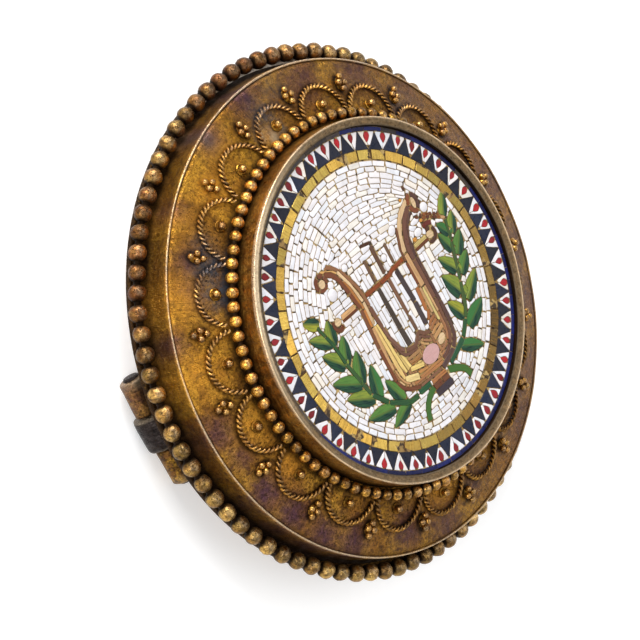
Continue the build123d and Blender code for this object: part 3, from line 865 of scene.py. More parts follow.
# %% [markdown]
# ## Grains on the flange
#
# Inside each arch one grain sits in a ring of fine wire. At each cusp four grains sit in a pool
# of solder. Spheres and tori on the cone would do; the solder is a flattened sphere, so that
# the grains look run in and not dropped on.

# %% Setting the grains
def moved(x, y, z):
    """A matrix that moves a piece."""
    return Matrix.Translation((x, y, z))


def on_flange(radius, angle_deg, lift=0.0):
    """A place on the flange: x down its slope, y round it and z square to its face."""
    turn = Matrix.Rotation(math.radians(angle_deg), 4, "Z")
    tilt = Matrix.Rotation(math.atan(flange_rise), 4, "Y")
    return turn @ moved(radius, 0, flange_level(radius)) @ tilt @ moved(0, 0, lift)


def set_grain(bm, place, radius, divisions, shape=(1, 1, 1)):
    """One sphere, scaled to shape."""
    bmesh.ops.create_uvsphere(
        bm, u_segments=divisions, v_segments=divisions * 3 // 4, radius=radius,
        matrix=place @ Matrix.Diagonal((*shape, 1)),
    )


def set_halo(bm, place, radius, wire_radius):
    """A ring of fine wire, spun from a circle."""
    before = set(bm.verts)
    ring = bmesh.ops.create_circle(bm, segments=6, radius=wire_radius)["verts"]
    turn_verts(bm, ring, math.pi / 2, "X")
    bmesh.ops.translate(bm, verts=ring, vec=(radius, 0, 0))
    edges = list({edge for vert in ring for edge in vert.link_edges})
    bmesh.ops.spin(bm, geom=edges, cent=(0, 0, 0), axis=(0, 0, 1), angle=math.tau, steps=18, use_merge=True)
    bmesh.ops.transform(bm, matrix=place, verts=list(set(bm.verts) - before))


grain_marks = {
    # crevice: dirt and painted shade, darkest where each grain meets the flange
    "crevice": lambda points: 0.8 - 0.8 * soft_step(above_flange(points), 0.0, 0.24),
    "rubbed": lambda points: 0.14 * soft_step(above_flange(points), 0.3, 0.48),
    "tone": lambda points: np.full(len(points), 0.44),
}
chance = random.Random(22)
single_grains = bmesh.new()
for index in range(scallop_count):
    angle_deg = scallop_start_deg + index * scallop_step_deg
    radius = grain_row_radius + chance.uniform(-0.06, 0.06)
    place = on_flange(radius, angle_deg + chance.uniform(-0.25, 0.25), 0.03)
    set_halo(single_grains, place @ moved(0, 0, 0.02), halo_radius, 0.07)
    set_grain(single_grains, place, 0.4, 14, (1, 1, 0.22))
    set_grain(single_grains, place @ moved(0, 0, grain_radius - 0.02), grain_radius, 16)
bmesh.ops.recalc_face_normals(single_grains, faces=single_grains.faces)
finish_piece(single_grains, "arch_grains", gilt_grain, ["scallop_grains"], marks=grain_marks)

cluster_spots = (
    (cluster_long_half, 0), (0, cluster_short_half), (-cluster_long_half, 0), (0, -cluster_short_half),
)
clusters = bmesh.new()
for index in range(scallop_count):
    angle_deg = scallop_start_deg + (index + 0.5) * scallop_step_deg + chance.uniform(-0.5, 0.5)
    place = on_flange(cluster_row_radius + chance.uniform(-0.08, 0.08), angle_deg)
    place = place @ Matrix.Rotation(math.radians(chance.uniform(-8, 8)), 4, "Z")
    set_grain(clusters, place, 0.5, 14, (1.0, 0.66, 0.24))
    for x, y in cluster_spots:
        x += chance.uniform(-0.03, 0.03)
        y += chance.uniform(-0.03, 0.03)
        spot = place @ moved(x, y, cluster_grain_radius + 0.02)
        set_grain(clusters, spot, cluster_grain_radius * chance.uniform(0.9, 1.0), 14)
finish_piece(clusters, "cusp_grains", gilt_grain, ["grain_clusters"], marks=grain_marks)


# %% [markdown]
# ## Collet
#
# The collet is a tall setting wall. Its top is a wide worn bevel that leans in over the mosaic,
# with a bright line where the edge is rubbed, a painted highlight on the bevel at one side and
# painted shade over the rest of it. It is turned like the frame. Inside and below, it keeps the
# ledge that carries the tablet.

# %% Turning the collet
collet_thickness = 0.35
bezel_bottom = collet_top - 0.78
ledge_top = tablet_bottom - 0.02
inner_wall = collet_radius - collet_thickness
wall_top = collet_top - 0.1
wall_start = 7.2
wall_steps = 8
bevel_start = collet_radius - 0.15
bevel_drop = 0.07
bevel_steps = 4
collet_profile = [(collet_radius, plate_top + 0.02)]
for index in range(wall_steps + 1):
    part = index / wall_steps
    level = wall_start + (wall_top - wall_start) * part
    collet_profile.append((collet_radius - 0.03 * math.sin(math.pi * part), level))
collet_profile += arc((collet_radius - 0.07, collet_top - 0.07), 0.07, 10, 120, 6)
for index in range(bevel_steps + 1):
    part = index / bevel_steps
    dip = 0.02 * math.sin(math.pi * part)
    radius = bevel_start + (bezel_radius + 0.04 - bevel_start) * part
    collet_profile.append((radius, collet_top - 0.03 - bevel_drop * part - dip))
collet_profile += [
    (bezel_radius + 0.01, collet_top - bevel_drop - 0.06),
    (bezel_radius, collet_top - bevel_drop - 0.12),
    (bezel_radius, bezel_bottom),
    (inner_wall, bezel_bottom),
    (inner_wall, ledge_top),
    (inner_wall - ledge_width, ledge_top),
    (inner_wall - ledge_width, ledge_top - 0.4),
    (inner_wall, ledge_top - 0.4),
    (inner_wall, plate_top + 0.02),
]


def collet_crevice(points):
    """Dirt and painted shade at the wall's foot and where the bevel meets the glass; painted shade on the
    bevel.
    """
    radius = from_axis(points)
    foot = 1 - soft_step(points[:, 2], flange_inner_level + 0.2, flange_inner_level + 1.0)
    inside = 1 - soft_step(radius, bezel_radius + 0.05, bezel_radius + 0.24)
    # bevel: painted shade over the bevel, strongest round -5 degrees
    bevel = (0.18 + 0.3 * bump_at(round_axis(points), -5, 85)) * (radius < collet_radius - 0.12)
    return np.where(radius > collet_radius - 0.1, 0.9 * foot, np.maximum(inside, bevel))


def collet_rub_and_highlight(points):
    """Bright rubbed line along the top edge, a painted highlight on the bevel and a faint line inside."""
    radius = from_axis(points)
    level = points[:, 2]
    edge = bump_at(radius, collet_radius - 0.06, 0.06) * soft_step(level, wall_top, collet_top - 0.02)
    # painted_highlight: a painted highlight on the outer half of the bevel round 142 degrees
    off = (round_axis(points) - 142 + 180) % 360 - 180
    painted_highlight = bump_at(off, 0, 34) * soft_step(radius, bezel_radius + 0.12, bezel_radius + 0.28)
    painted_highlight *= soft_step(level, collet_top - 0.2, wall_top)
    inner = bump_at(radius, bezel_radius + 0.05, 0.03)
    inner *= soft_step(level, collet_top - 0.2, collet_top - 0.15)
    return np.maximum(np.maximum(0.8 * edge, painted_highlight), 0.2 * inner)


def collet_greyed(points):
    """The bevel is greyer than the wall."""
    return 0.9 * (from_axis(points) < collet_radius - 0.12) * (points[:, 2] > mosaic_level - 0.2)


collet_mesh = lathe(collet_profile, 300)
wrap_grain(collet_mesh, collet_radius)
dent(collet_mesh, 2.0, 0.02, 2)
finish_piece(
    collet_mesh, "collet_wall", gilt_collet, ["collet"], sharp_deg=50,
    marks={"crevice": collet_crevice, "rubbed": collet_rub_and_highlight, "stained": collet_greyed},
)


# %% [markdown]
# ## Hinge, pin and catch
#
# Behind the plate two curled straps and a stout barrel make the hinge, and a plain hook takes the
# pin's point. Barrels are turned and laid on the hinge's axis, straps are bevelled blocks, and the
# hook is a flat strip spun three quarters of a turn.

# %% Sizes of the fittings, from the solids
hinge_x, hinge_y, hinge_z = (value / mm for value in frame["joints"][0]["pos_m"])
barrel_radius = hinge_z - low_of("pin").z
barrel_half = high_of("pin").y - hinge_y
knuckles_low = low_of("hinge_knuckles")
knuckles_high = high_of("hinge_knuckles")
strap_start = barrel_half + 0.08
knuckle_radius = 0.98
stem_radius = 0.42
rivet_radius = 0.42
stem_tip_x = high_of("pin").x
catch_low = low_of("catch")
catch_high = high_of("catch")
lie_along_y = Matrix.Rotation(math.pi / 2, 4, "X")
at_hinge = moved(hinge_x, hinge_y, hinge_z) @ lie_along_y


def turned_barrel(outer, bore, half_length, round_edge, steps=40):
    """A short tube with rounded lips, on the z axis."""
    lip = half_length - round_edge
    profile = [(bore, -half_length)] + arc((outer - round_edge, -lip), round_edge, -90, 0, 4)
    profile += [(outer, -half_length * 0.4), (outer, half_length * 0.4)]
    profile += arc((outer - round_edge, lip), round_edge, 0, 90, 4) + [(bore, half_length)]
    bm = lathe(profile, steps)
    wrap_grain(bm, outer)
    return bm


def join_into(target, bm, place=None):
    """Moves a bmesh to its place and adds it to another."""
    if place:
        bmesh.ops.transform(bm, matrix=place, verts=bm.verts)
    mesh = as_mesh(bm, "part")
    target.from_mesh(mesh)
    bpy.data.meshes.remove(mesh)


def round_edges(bm, edges, width, segments):
    """Bevels edges round."""
    bmesh.ops.bevel(bm, geom=edges, offset=width, segments=segments, affect="EDGES", profile=0.5,
                    material=-1)


def bevelled_block(low, high, round_edge):
    """A block between two corners with rounded edges."""
    low = Vector(low)
    high = Vector(high)
    bm = bmesh.new()
    place = Matrix.Translation((low + high) / 2) @ Matrix.Diagonal((*(high - low), 1))
    bmesh.ops.create_cube(bm, size=1.0, matrix=place)
    round_edges(bm, list(bm.edges), round_edge, 3)
    grain = bm.loops.layers.uv.new("grain")
    for face in bm.faces:
        for loop in face.loops:
            loop[grain].uv = (loop.vert.co.y, loop.vert.co.x + loop.vert.co.z)
    return bm


def near_planes(axis, places, reach, strength):
    """A rule for a mark near planes across x (0) or y (1)."""
    def rule(points):
        return strength * np.max([bump_at(points[:, axis], place, reach) for place in places], axis=0)
    return rule


print("hinge at", round(hinge_x, 2), round(hinge_y, 2), round(hinge_z, 2))

# %% Hinge
leaf_top = plate_bottom - 0.02
leaf_thickness = 0.22
strap_right = hinge_x + knuckle_radius
strap_left = strap_right - leaf_thickness
leaf_left = hinge_x + barrel_radius + 0.3
leaf_bottom = leaf_top - leaf_thickness
half_length = (knuckles_high.y - hinge_y - strap_start) / 2
hinge = bmesh.new()
for side in (-1, 1):
    middle_y = hinge_y + side * (strap_start + knuckles_high.y - hinge_y) / 2
    near = middle_y - half_length
    far = middle_y + half_length
    place = moved(hinge_x, middle_y, hinge_z) @ lie_along_y
    join_into(hinge, turned_barrel(knuckle_radius, rivet_radius + 0.02, half_length, 0.16), place)
    join_into(hinge, bevelled_block((strap_left, near, hinge_z), (strap_right, far, leaf_top), 0.06))
    arm_end = leaf_left + leaf_thickness
    join_into(hinge, bevelled_block((strap_left, near, leaf_bottom), (arm_end, far, leaf_top), 0.05))
leaf_low = (leaf_left, knuckles_low.y, leaf_bottom)
join_into(hinge, bevelled_block(leaf_low, (knuckles_high.x, knuckles_high.y, leaf_top), 0.05))
dent(hinge, 0.9, 0.07, 3)
between_straps = near_planes(1, [hinge_y], barrel_half + 0.5, 0.85)
finish_piece(
    hinge, "hinge_straps", strap_metal, ["hinge_knuckles"],
    marks={
        # crevice: dirt and painted shade, darker towards the plate and between the straps
        "crevice": lambda points: np.maximum(0.9 * soft_step(points[:, 2], 1.5, 2.4),
                                             between_straps(points)),
        "rubbed": near_planes(1, [knuckles_low.y, knuckles_high.y], 0.2, 0.22),
        "stained": lambda points: 0.6 * soft_step(points[:, 1], hinge_y, hinge_y + 2),
    },
)

rivet_half = (high_of("hinge_rivet").y - low_of("hinge_rivet").y) / 2
head_round = 0.18
rivet_profile = [(0.0, -rivet_half)] + arc((rivet_radius, -rivet_half + head_round), head_round, -90, 0, 4)
rivet_profile += [(rivet_radius - 0.01, -rivet_half + 0.2), (rivet_radius - 0.01, rivet_half - 0.2)]
rivet_profile += arc((rivet_radius, rivet_half - head_round), head_round, 0, 90, 4) + [(0.0, rivet_half)]
rivet = lathe(rivet_profile, 24, closed=False)
wrap_grain(rivet, 0.5)
bmesh.ops.transform(rivet, matrix=at_hinge, verts=rivet.verts)
rivet_marks = {"crevice": lambda points: np.full(len(points), 0.15)}
finish_piece(rivet, "hinge_pin", brown_metal, ["hinge_rivet"], marks=rivet_marks)

# %% Pin
pin_piece = bmesh.new()
join_into(pin_piece, turned_barrel(barrel_radius, rivet_radius + 0.05, barrel_half, 0.22, 48), at_hinge)
stem_start = hinge_x + 0.95
taper_start = stem_tip_x - 4.0
stem_profile = [
    (0.0, stem_start), (stem_radius, stem_start), (stem_radius, hinge_x + barrel_radius),
    (stem_radius, taper_start), (stem_radius * 0.86, taper_start + 1.2),
    (stem_radius * 0.55, taper_start + 2.8),
    (0.12, stem_tip_x - 0.15), (0.05, stem_tip_x - 0.02), (0.0, stem_tip_x),
]
stem = lathe(stem_profile, 20, closed=False)
wrap_grain(stem, stem_radius)
join_into(pin_piece, stem, moved(0, hinge_y, hinge_z) @ Matrix.Rotation(math.pi / 2, 4, "Y"))
dent(pin_piece, 0.6, 0.06, 4)
finish_piece(
    pin_piece, "pin_and_barrel", brown_metal, ["pin"], body="pin",
    marks={
        # crevice: dirt and painted shade where the stem meets the barrel
        "crevice": near_planes(0, [hinge_x + barrel_radius + 0.1], 0.3, 0.5),
        "rubbed": near_planes(1, [hinge_y - barrel_half, hinge_y + barrel_half], 0.12, 0.22),
    },
)

# %% Catch
catch_radius = hinge_z
catch_strip = 0.4
catch_y = catch_low.y + catch_radius
mouth_low_deg = -25.0
mouth_high_deg = 70.0
inner = catch_radius - catch_strip
hook = bmesh.new()
corners = [
    hook.verts.new((x, y, 0))
    for x, y in (
        (catch_low.x, inner), (catch_high.x, inner), (catch_high.x, catch_radius),
        (catch_low.x, catch_radius)
    )
]
strip_face = hook.faces.new(corners)
turn_verts(hook, corners, math.radians(mouth_high_deg), "X")
bmesh.ops.spin(
    hook, geom=[strip_face], cent=(0, 0, 0), axis=(1, 0, 0), steps=28,
    angle=math.radians(360 - mouth_high_deg + mouth_low_deg),
)
bmesh.ops.recalc_face_normals(hook, faces=hook.faces)
sharp_angle = math.radians(50)
rims = [edge for edge in hook.edges if edge.is_manifold and edge.calc_face_angle(0) > sharp_angle]
round_edges(hook, rims, 0.06, 2)
wrap_grain(hook, 1.0)
bmesh.ops.translate(hook, verts=hook.verts, vec=(0, catch_y, hinge_z))
foot_low = (catch_low.x, catch_y - 1.3, 2 * catch_radius - catch_strip * 0.6)
join_into(hook, bevelled_block(foot_low, (catch_high.x, catch_y + 0.65, leaf_top), 0.05))
dent(hook, 0.9, 0.02, 5)
# crevice: dirt and painted shade, darker towards the plate
catch_marks = {"crevice": lambda points: 0.6 * soft_step(points[:, 2], 2.0, 2.8)}
finish_piece(hook, "catch_hook", strap_metal, ["catch"], marks=catch_marks)


# %% [markdown]
# ## Bed of the mosaic
#
# Behind the glass lies a tablet covered with ochre cement, which shows as the thin lines between
# the strips. One turned disc stands for both: it fills the space under the bezel, and its upper
# face lies a hair below the glass.

# %% Turning the bed
joint_depth = 0.05
bed_top = mosaic_level - joint_depth
bed_step = bezel_bottom - 0.02
bed_edge = bezel_radius - 0.02
bed_profile = [(0.0, tablet_bottom), (tablet_radius, tablet_bottom), (tablet_radius, bed_step)]
bed_profile += [(bed_edge, bed_step)]
bed_profile += [(bed_edge * part, bed_top) for part in (1, 0.85, 0.7, 0.55, 0.4, 0.2, 0)]
cement, recipe, shader = new_material("ochre_cement", Roughness=0.85)
place = recipe.object_place()
patch = recipe.spread(recipe.cloud(place, 0.6, 4.0), 0.35, 0.65)
soot = recipe.spread(recipe.cloud(place, 2.8, 4.0), 0.46, 0.57, 0.0, 0.95)
colour = recipe.mix(soot, recipe.mix(patch, srgb(164, 138, 84), srgb(128, 100, 54)), srgb(44, 30, 16))
recipe.surface(shader, recipe.cloud(place, 9.0), 0.02, Base_Color=colour)
finish_piece(lathe(bed_profile, 120, closed=False), "cement_bed", cement, ["mosaic_tablet"])


# %% [markdown]
# ## Glass finishes
#
# The strips are opaque enamel glass, cut across and polished. Each has its own colour, painted on
# the mesh, with fine drawn streaks along it, a few dark pits, and dirt and painted shade in its
# chipped edges. The streaks and pits are the same effect in every glass, so they are one group.

# %% Drawn glass, shared by all strips
drawn, given, result = new_group(
    "drawn glass",
    {
        "Grain": "Vector", "Place": "Vector", "Glass": "Color", "Streak": "Color", "Streaks": "Float",
        "Edge": "Float", "Rim": "Color",
    },
    surface_outputs,
)
streaks = drawn.drawn_cloud(given["Grain"], 0.7, 9.0, roughness=0.6)
cloudy = drawn.cloud(given["Place"], 2.6)
pits = drawn.spread(drawn.cloud(given["Place"], 13.0, 2.0), 0.68, 0.76)
streaked = drawn.times(drawn.spread(streaks, 0.42, 0.68), given["Streaks"])
colour = drawn.mix(streaked, given["Glass"], given["Streak"])
colour = drawn.mix(drawn.spread(cloudy, 0.3, 0.8, 0.0, 0.16), colour, srgb(70, 62, 60))
colour = drawn.mix(drawn.times(pits, 0.5), colour, srgb(96, 80, 66))
# edge_dirt_and_shade: dirt and painted shade on the chipped edges
edge_dirt_and_shade = drawn.times(given["Edge"], drawn.spread(cloudy, 0.25, 0.6, 0.35, 0.9), clamp=True)
height = drawn.less(drawn.times(cloudy, 0.7), drawn.times(pits, 0.4))
drawn.feed(
    result, Color=drawn.mix(edge_dirt_and_shade, colour, given["Rim"]),
    Roughness=drawn.spread(cloudy, 0.2, 0.8, 0.22, 0.42),
    Height=drawn.plus(height, drawn.times(streaks, 0.25)),
)


def glass_finish(name, streak, streaks, edges, lumps_mm, rim, **constants):
    """Opaque glass that reads its colour from the mesh."""
    material, recipe, shader = new_material(name, **constants)
    glass = recipe.group(
        drawn, Grain=recipe.grain_place(), Place=recipe.object_place(), Streak=srgb(*streak),
        Glass=recipe.marked("glass_colour", "Color"), Streaks=streaks, Rim=srgb(*rim),
        Edge=recipe.times(recipe.marked("edge"), edges),
    )
    recipe.surface(shader, glass["Height"], lumps_mm, Base_Color=glass["Color"],
                   Roughness=glass["Roughness"])
    return material


brown_rim = (84, 60, 40)
glasses = {"gold_glass": glass_finish("gold_glass", (150, 108, 36), 0.5, 1.0, 0.05, brown_rim, Metallic=0.8)}
for name, streak, streaks, edges, rim, gloss in (
    ("white_glass", (200, 199, 204), 0.35, 0.8, (150, 126, 88), 0.3),
    ("navy_glass", (16, 18, 28), 0.5, 0.4, brown_rim, 0.15),
    ("blue_glass", (14, 18, 56), 0.6, 0.4, brown_rim, 0.15),
    ("red_glass", (84, 12, 18), 0.5, 0.4, brown_rim, 0.2),
    ("tan_glass", (118, 80, 52), 0.42, 0.7, brown_rim, 0.25),
    ("brown_glass", (58, 34, 22), 0.5, 0.6, brown_rim, 0.2),
    ("pink_glass", (166, 124, 122), 0.4, 0.7, brown_rim, 0.25),
):
    glasses[name] = glass_finish(name, streak, streaks, edges, 0.012, rim, Specular_IOR_Level=gloss)
print("materials:", len(bpy.data.materials))


# %% [markdown]
# ## Laurel glass
#
# A laurel leaf was drawn as one strip with two greens in it: light on one half and dark on the
# other, with fine streaks between. The grain map runs from the leaf's stem to its tip, and its v
# is 0 on the midrib, so v tells which half a point lies in.

# %% Laurel glass
glasses["green_glass"], recipe, shader = new_material("laurel_glass", Specular_IOR_Level=0.2)
grain = recipe.grain_place()
across = recipe.add("SeparateXYZ", {0: grain})[1]
streaks = recipe.drawn_cloud(grain, 0.8, 7.0, roughness=0.6)
wavering = recipe.plus(across, recipe.times(recipe.less(streaks, 0.5), 0.55))
painted = recipe.marked("glass_colour", "Color")
light = recipe.mix(recipe.spread(streaks, 0.4, 0.66, 0.0, 0.7), painted, srgb(44, 84, 36))
dark = recipe.mix(recipe.spread(streaks, 0.36, 0.62), srgb(14, 44, 36), srgb(28, 70, 42))
colour = recipe.mix(recipe.spread(wavering, -0.2, 0.12), dark, light)
rib = recipe.spread(recipe.sum("ABSOLUTE", across), 0.0, 0.08, 0.4, 0.0)
colour = recipe.mix(rib, colour, srgb(96, 88, 34))
# the chipped edges darkened: dirt and painted shade
colour = recipe.mix(recipe.times(recipe.marked("edge"), 0.5), colour, srgb(34, 40, 20))
roughness = recipe.spread(streaks, 0.3, 0.7, 0.25, 0.4)
recipe.surface(shader, streaks, 0.012, Base_Color=colour, Roughness=roughness)


# %% [markdown]
# ## The mosaicist's bench
#
# A mosaicist lays strips in rows and nips each one to fit what is there already. The script works
# the same way. A fine grid over the field holds the room left at each point, that is the distance
# to the nearest laid glass. A row is walked in short steps. At each step the free width across it
# is read from the grid, and strips are cut from the stretches that are wide enough.

# %% Room on the bench
bench_pitch = 0.04
bench_reach = field_radius + 0.3
bench_side = int(2 * bench_reach / bench_pitch) + 1
bench_line = np.linspace(-bench_reach, bench_reach, bench_side)
bench_step = bench_line[1] - bench_line[0]
bench_x, bench_y = np.meshgrid(bench_line, bench_line)
room = field_radius - np.hypot(bench_x, bench_y)
claim_reach = 0.8
Strip = namedtuple("Strip", "outline colour direction")
laid = defaultdict(list)


def outline_distance(px, py, outline):
    """Distance from points to an outline, negative inside it."""
    nearest = np.full(px.shape, 1e9)
    inside = np.zeros(px.shape, bool)
    for (ax, ay), (bx, by) in zip(outline, outline[1:] + outline[:1]):
        dx = bx - ax
        dy = by - ay
        part = np.clip(((px - ax) * dx + (py - ay) * dy) / (dx * dx + dy * dy + 1e-12), 0, 1)
        nearest = np.minimum(nearest, np.hypot(px - ax - part * dx, py - ay - part * dy))
        if ay != by:
            inside ^= ((ay > py) != (by > py)) & (px < dx * (py - ay) / dy + ax)
    return np.where(inside, -nearest, nearest)


def claim(outline):
    """Takes the room under and around a strip."""
    spans = []
    for places in zip(*outline):
        first = int((min(places) - claim_reach + bench_reach) / bench_step)
        last = int((max(places) + claim_reach + bench_reach) / bench_step)
        spans.append(slice(max(first, 0), last + 2))
    columns, rows = spans
    near = outline_distance(bench_x[rows, columns], bench_y[rows, columns], outline)
    room[rows, columns] = np.minimum(room[rows, columns], near)


def room_at(x, y):
    """Room at points, read between the grid's lines."""
    column = np.clip((x + bench_reach) / bench_step, 0, bench_side - 1.001)
    row = np.clip((y + bench_reach) / bench_step, 0, bench_side - 1.001)
    left = column.astype(int)
    below = row.astype(int)
    part_x = column - left
    part_y = row - below
    low = room[below, left] * (1 - part_x) + room[below, left + 1] * part_x
    high = room[below + 1, left] * (1 - part_x) + room[below + 1, left + 1] * part_x
    return low * (1 - part_y) + high * part_y


print("bench:", bench_side, "points a side, pitch", round(bench_step, 4), "mm")

# %% Walking a line
step_mm = 0.05
across_count = 13


def smooth_line(points, closed=False):
    """A fine, evenly stepped line through points, curved as a drawn line is."""
    points = [np.array(point, float) for point in points]
    count = len(points)
    raw = []
    if count == 2:
        raw = [points[0] + (points[1] - points[0]) * part for part in np.linspace(0, 1, 60)]
    else:
        for index in range(count if closed else count - 1):
            b, c = points[index], points[(index + 1) % count]
            a = points[index - 1] if closed or index else 2 * b - c
            d = points[(index + 2) % count] if closed or index + 2 < count else 2 * c - b
            bend = 2 * a - 5 * b + 4 * c - d
            twist = 3 * b - a - 3 * c + d
            for t in np.linspace(0, 1, 30, endpoint=False):
                raw.append(0.5 * (2 * b + (c - a) * t + bend * t**2 + twist * t**3))
        raw.append(points[0] if closed else points[-1])
    raw = np.array(raw)
    runs = np.concatenate([[0], np.cumsum(np.hypot(*np.diff(raw, axis=0).T))])
    places = np.linspace(0, runs[-1], max(int(runs[-1] / step_mm), 3) + 1)
    return np.column_stack([np.interp(places, runs, raw[:, 0]), np.interp(places, runs, raw[:, 1])])


def longest_run(row):
    """First and last of the longest run of places with room."""
    best = (0, -1)
    begin = None
    for place in range(len(row) + 1):
        is_free = place < len(row) and row[place] > 0
        if is_free and begin is None:
            begin = place
        if not is_free and begin is not None:
            if place - 1 - begin > best[1] - best[0]:
                best = (begin, place - 1)
            begin = None
    return best


def free_widths(line, low, high, joint):
    """At each step of a line, the lowest and highest free offset across it."""
    ahead = np.gradient(line, axis=0)
    ahead /= np.hypot(ahead[:, 0], ahead[:, 1])[:, None] + 1e-12
    across = np.column_stack([-ahead[:, 1], ahead[:, 0]])
    offsets = low[:, None] + (high - low)[:, None] * np.linspace(0, 1, across_count)
    spots = line[:, None, :] + across[:, None, :] * offsets[..., None]
    free = room_at(spots[..., 0], spots[..., 1]) - joint
    starts = np.zeros(len(line))
    ends = np.zeros(len(line))
    for index, row in enumerate(free):
        first, last = longest_run(row)
        if last <= first:
            continue
        pitch = offsets[index, 1] - offsets[index, 0]
        starts[index] = offsets[index, first]
        ends[index] = offsets[index, last]
        if first > 0:
            starts[index] -= pitch * min(row[first] / (row[first] - row[first - 1]), 1)
        if last < across_count - 1:
            ends[index] += pitch * min(row[last] / (row[last] - row[last + 1]), 1)
    return across, starts, ends


print("a row is read every", step_mm, "mm, at", across_count, "places across it")

# %% Cutting and nipping
least_width = 0.1
least_length = 0.2
steepest = 0.16
broken_corner = 0.09
broken_share = 0.13


def straightened(outline, tolerance=0.014):
    """Drops the points of an outline that lie almost on the line between their neighbours."""
    kept = list(outline)
    index = 0
    while index < len(kept) and len(kept) > 4:
        (ax, ay), (bx, by), (cx, cy) = kept[index - 1], kept[index], kept[(index + 1) % len(kept)]
        length = math.hypot(cx - ax, cy - ay) + 1e-9
        off = abs((cx - ax) * (by - ay) - (cy - ay) * (bx - ax)) / length
        if off < tolerance or math.hypot(bx - ax, by - ay) < 0.03:
            kept.pop(index)
        else:
            index += 1
    return kept


def nipped(outline, nip):
    """Cuts each sharp corner of an outline, so that strips look broken and not punched."""
    made = []
    for index, (x, y) in enumerate(outline):
        ax, ay = outline[index - 1]
        bx, by = outline[(index + 1) % len(outline)]
        to_a = math.hypot(ax - x, ay - y)
        to_b = math.hypot(bx - x, by - y)
        cosine = ((ax - x) * (bx - x) + (ay - y) * (by - y)) / (to_a * to_b + 1e-9)
        if cosine < -0.8:
            made.append((x, y))
            continue
        size = broken_corner if chance.random() < broken_share else nip
        cut_a = min(size * chance.uniform(0.5, 1.4), to_a * 0.4)
        cut_b = min(size * chance.uniform(0.5, 1.4), to_b * 0.4)
        made.append((x + (ax - x) / to_a * cut_a, y + (ay - y) / to_a * cut_a))
        made.append((x + (bx - x) / to_b * cut_b, y + (by - y) / to_b * cut_b))
    return made


def tinted(colour, amount):
    """A colour a little lighter or darker, and a little warmer or cooler."""
    level = 1 + chance.uniform(-amount, amount)
    warmth = chance.uniform(-amount, amount) * 0.4
    levels = (level + warmth, level, level - warmth)
    return tuple(min(max(value * part, 0), 255) for value, part in zip(colour, levels))


def put(group, outline, colour, direction=(1, 0)):
    """Lays one strip in a group."""
    laid[group].append(Strip(outline, colour, direction))


def claim_group(group, first):
    """Takes the room of a group's strips from number first on."""
    for strip in laid[group][first:]:
        claim(strip.outline)


print("least strip:", least_width, "by", least_length, "mm")


# %% Laying rows
def even_stretch(starts, ends, wide, index):
    """Last step of the stretch from index in which the free width changes slowly."""
    last = index
    while (
        last + 1 < len(wide) and wide[last + 1]
        and abs(starts[last + 1] - starts[last]) < steepest and abs(ends[last + 1] - ends[last]) < steepest
    ):
        last += 1
    return last


def lay_row(
    group, line, low, high, colours, lengths=(0.7, 1.25),
    joint=0.036, tint=0.05, nip=0.02, where=None, waver=0.0
):
    """Cuts strips from a row, lays them and takes their room. low and high are the row's edges."""
    laid_before = len(laid[group])
    line = np.asarray(line, float)
    low = np.broadcast_to(np.asarray(low, float), len(line))
    high = np.broadcast_to(np.asarray(high, float), len(line)) + waver
    across, starts, ends = free_widths(line, low, high, joint)
    wide = (ends - starts) > least_width
    if where is not None:
        wide &= where(line[:, 0], line[:, 1])
    index = 0
    while index < len(line):
        if not wide[index]:
            index += 1
            continue
        last = even_stretch(starts, ends, wide, index)
        stretch = (last - index) * step_mm
        begin = index
        while stretch >= least_length:
            length = chance.uniform(*lengths)
            if stretch < length * 1.35:
                length = stretch
            stop = min(begin + round(length / step_mm), last)
            slant = chance.choice((-1, 0, 0, 1)) if stop - begin > 8 else 0
            low_steps = range(begin + max(slant, 0), stop + min(slant, 0) + 1, 2)
            high_steps = range(begin + max(-slant, 0), stop + min(-slant, 0) + 1, 2)
            caps = [chance.uniform(-2 * waver, 0) for end in (begin, stop)]
            caps = np.interp(range(len(line)), (begin, stop), caps)
            tops = np.maximum(np.minimum(ends, high + caps), starts + 0.6 * least_width)
            low_side = [tuple(line[k] + across[k] * starts[k]) for k in low_steps]
            high_side = [tuple(line[k] + across[k] * tops[k]) for k in high_steps]
            outline = nipped(straightened(low_side + high_side[::-1]), nip)
            middle = across[(begin + stop) // 2]
            put(group, outline, tinted(chance.choice(colours), tint), (middle[1], -middle[0]))
            used = stop - begin + max(round(joint / step_mm), 1)
            begin += used
            stretch -= used * step_mm
        index = last + 1
    claim_group(group, laid_before)


def in_field(points):
    """Points in hundredths of the field's radius, turned into millimetres."""
    return [(x * share, y * share) for x, y in points]


def lay(group, points, width, colours, lengths=(1.2, 2.4), joint=0.03, closed=False, **words):
    """Lays one drawn line of glass, with places and width in hundredths of the field's radius."""
    line = smooth_line(in_field(points), closed)
    colours = colours if isinstance(colours, list) else [colours]
    start_width, end_width = width if isinstance(width, tuple) else (width, width)
    half = np.linspace(start_width, end_width, len(line)) * share / 2
    lay_row(group, line, -half, half, colours, lengths, joint, **words)


def lay_table(group, table, lengths, joint=0.03):
    """Lays each drawn line of a table: its points, its width and its colours."""
    for points, width, colours in table:
        lay(group, points, width, colours, lengths, joint)


def oval_line(x, y, half_x, half_y, turn_deg=0.0, count=12):
    """Points round an oval, in the unit that it is given in."""
    turn = Matrix.Rotation(math.radians(turn_deg), 2)
    angles = [math.tau * index / count for index in range(count)]
    arms = [Vector((half_x * math.cos(angle), half_y * math.sin(angle))) for angle in angles]
    return [tuple(Vector((x, y)) + turn @ arm) for arm in arms]


def put_oval(group, colour, oval):
    """Lays a rounded piece, given in hundredths of the field's radius."""
    put(group, in_field(oval_line(*oval)), colour)
    claim_group(group, -1)


share = field_radius / 100
print("a hundredth of the field is", round(share, 4), "mm")


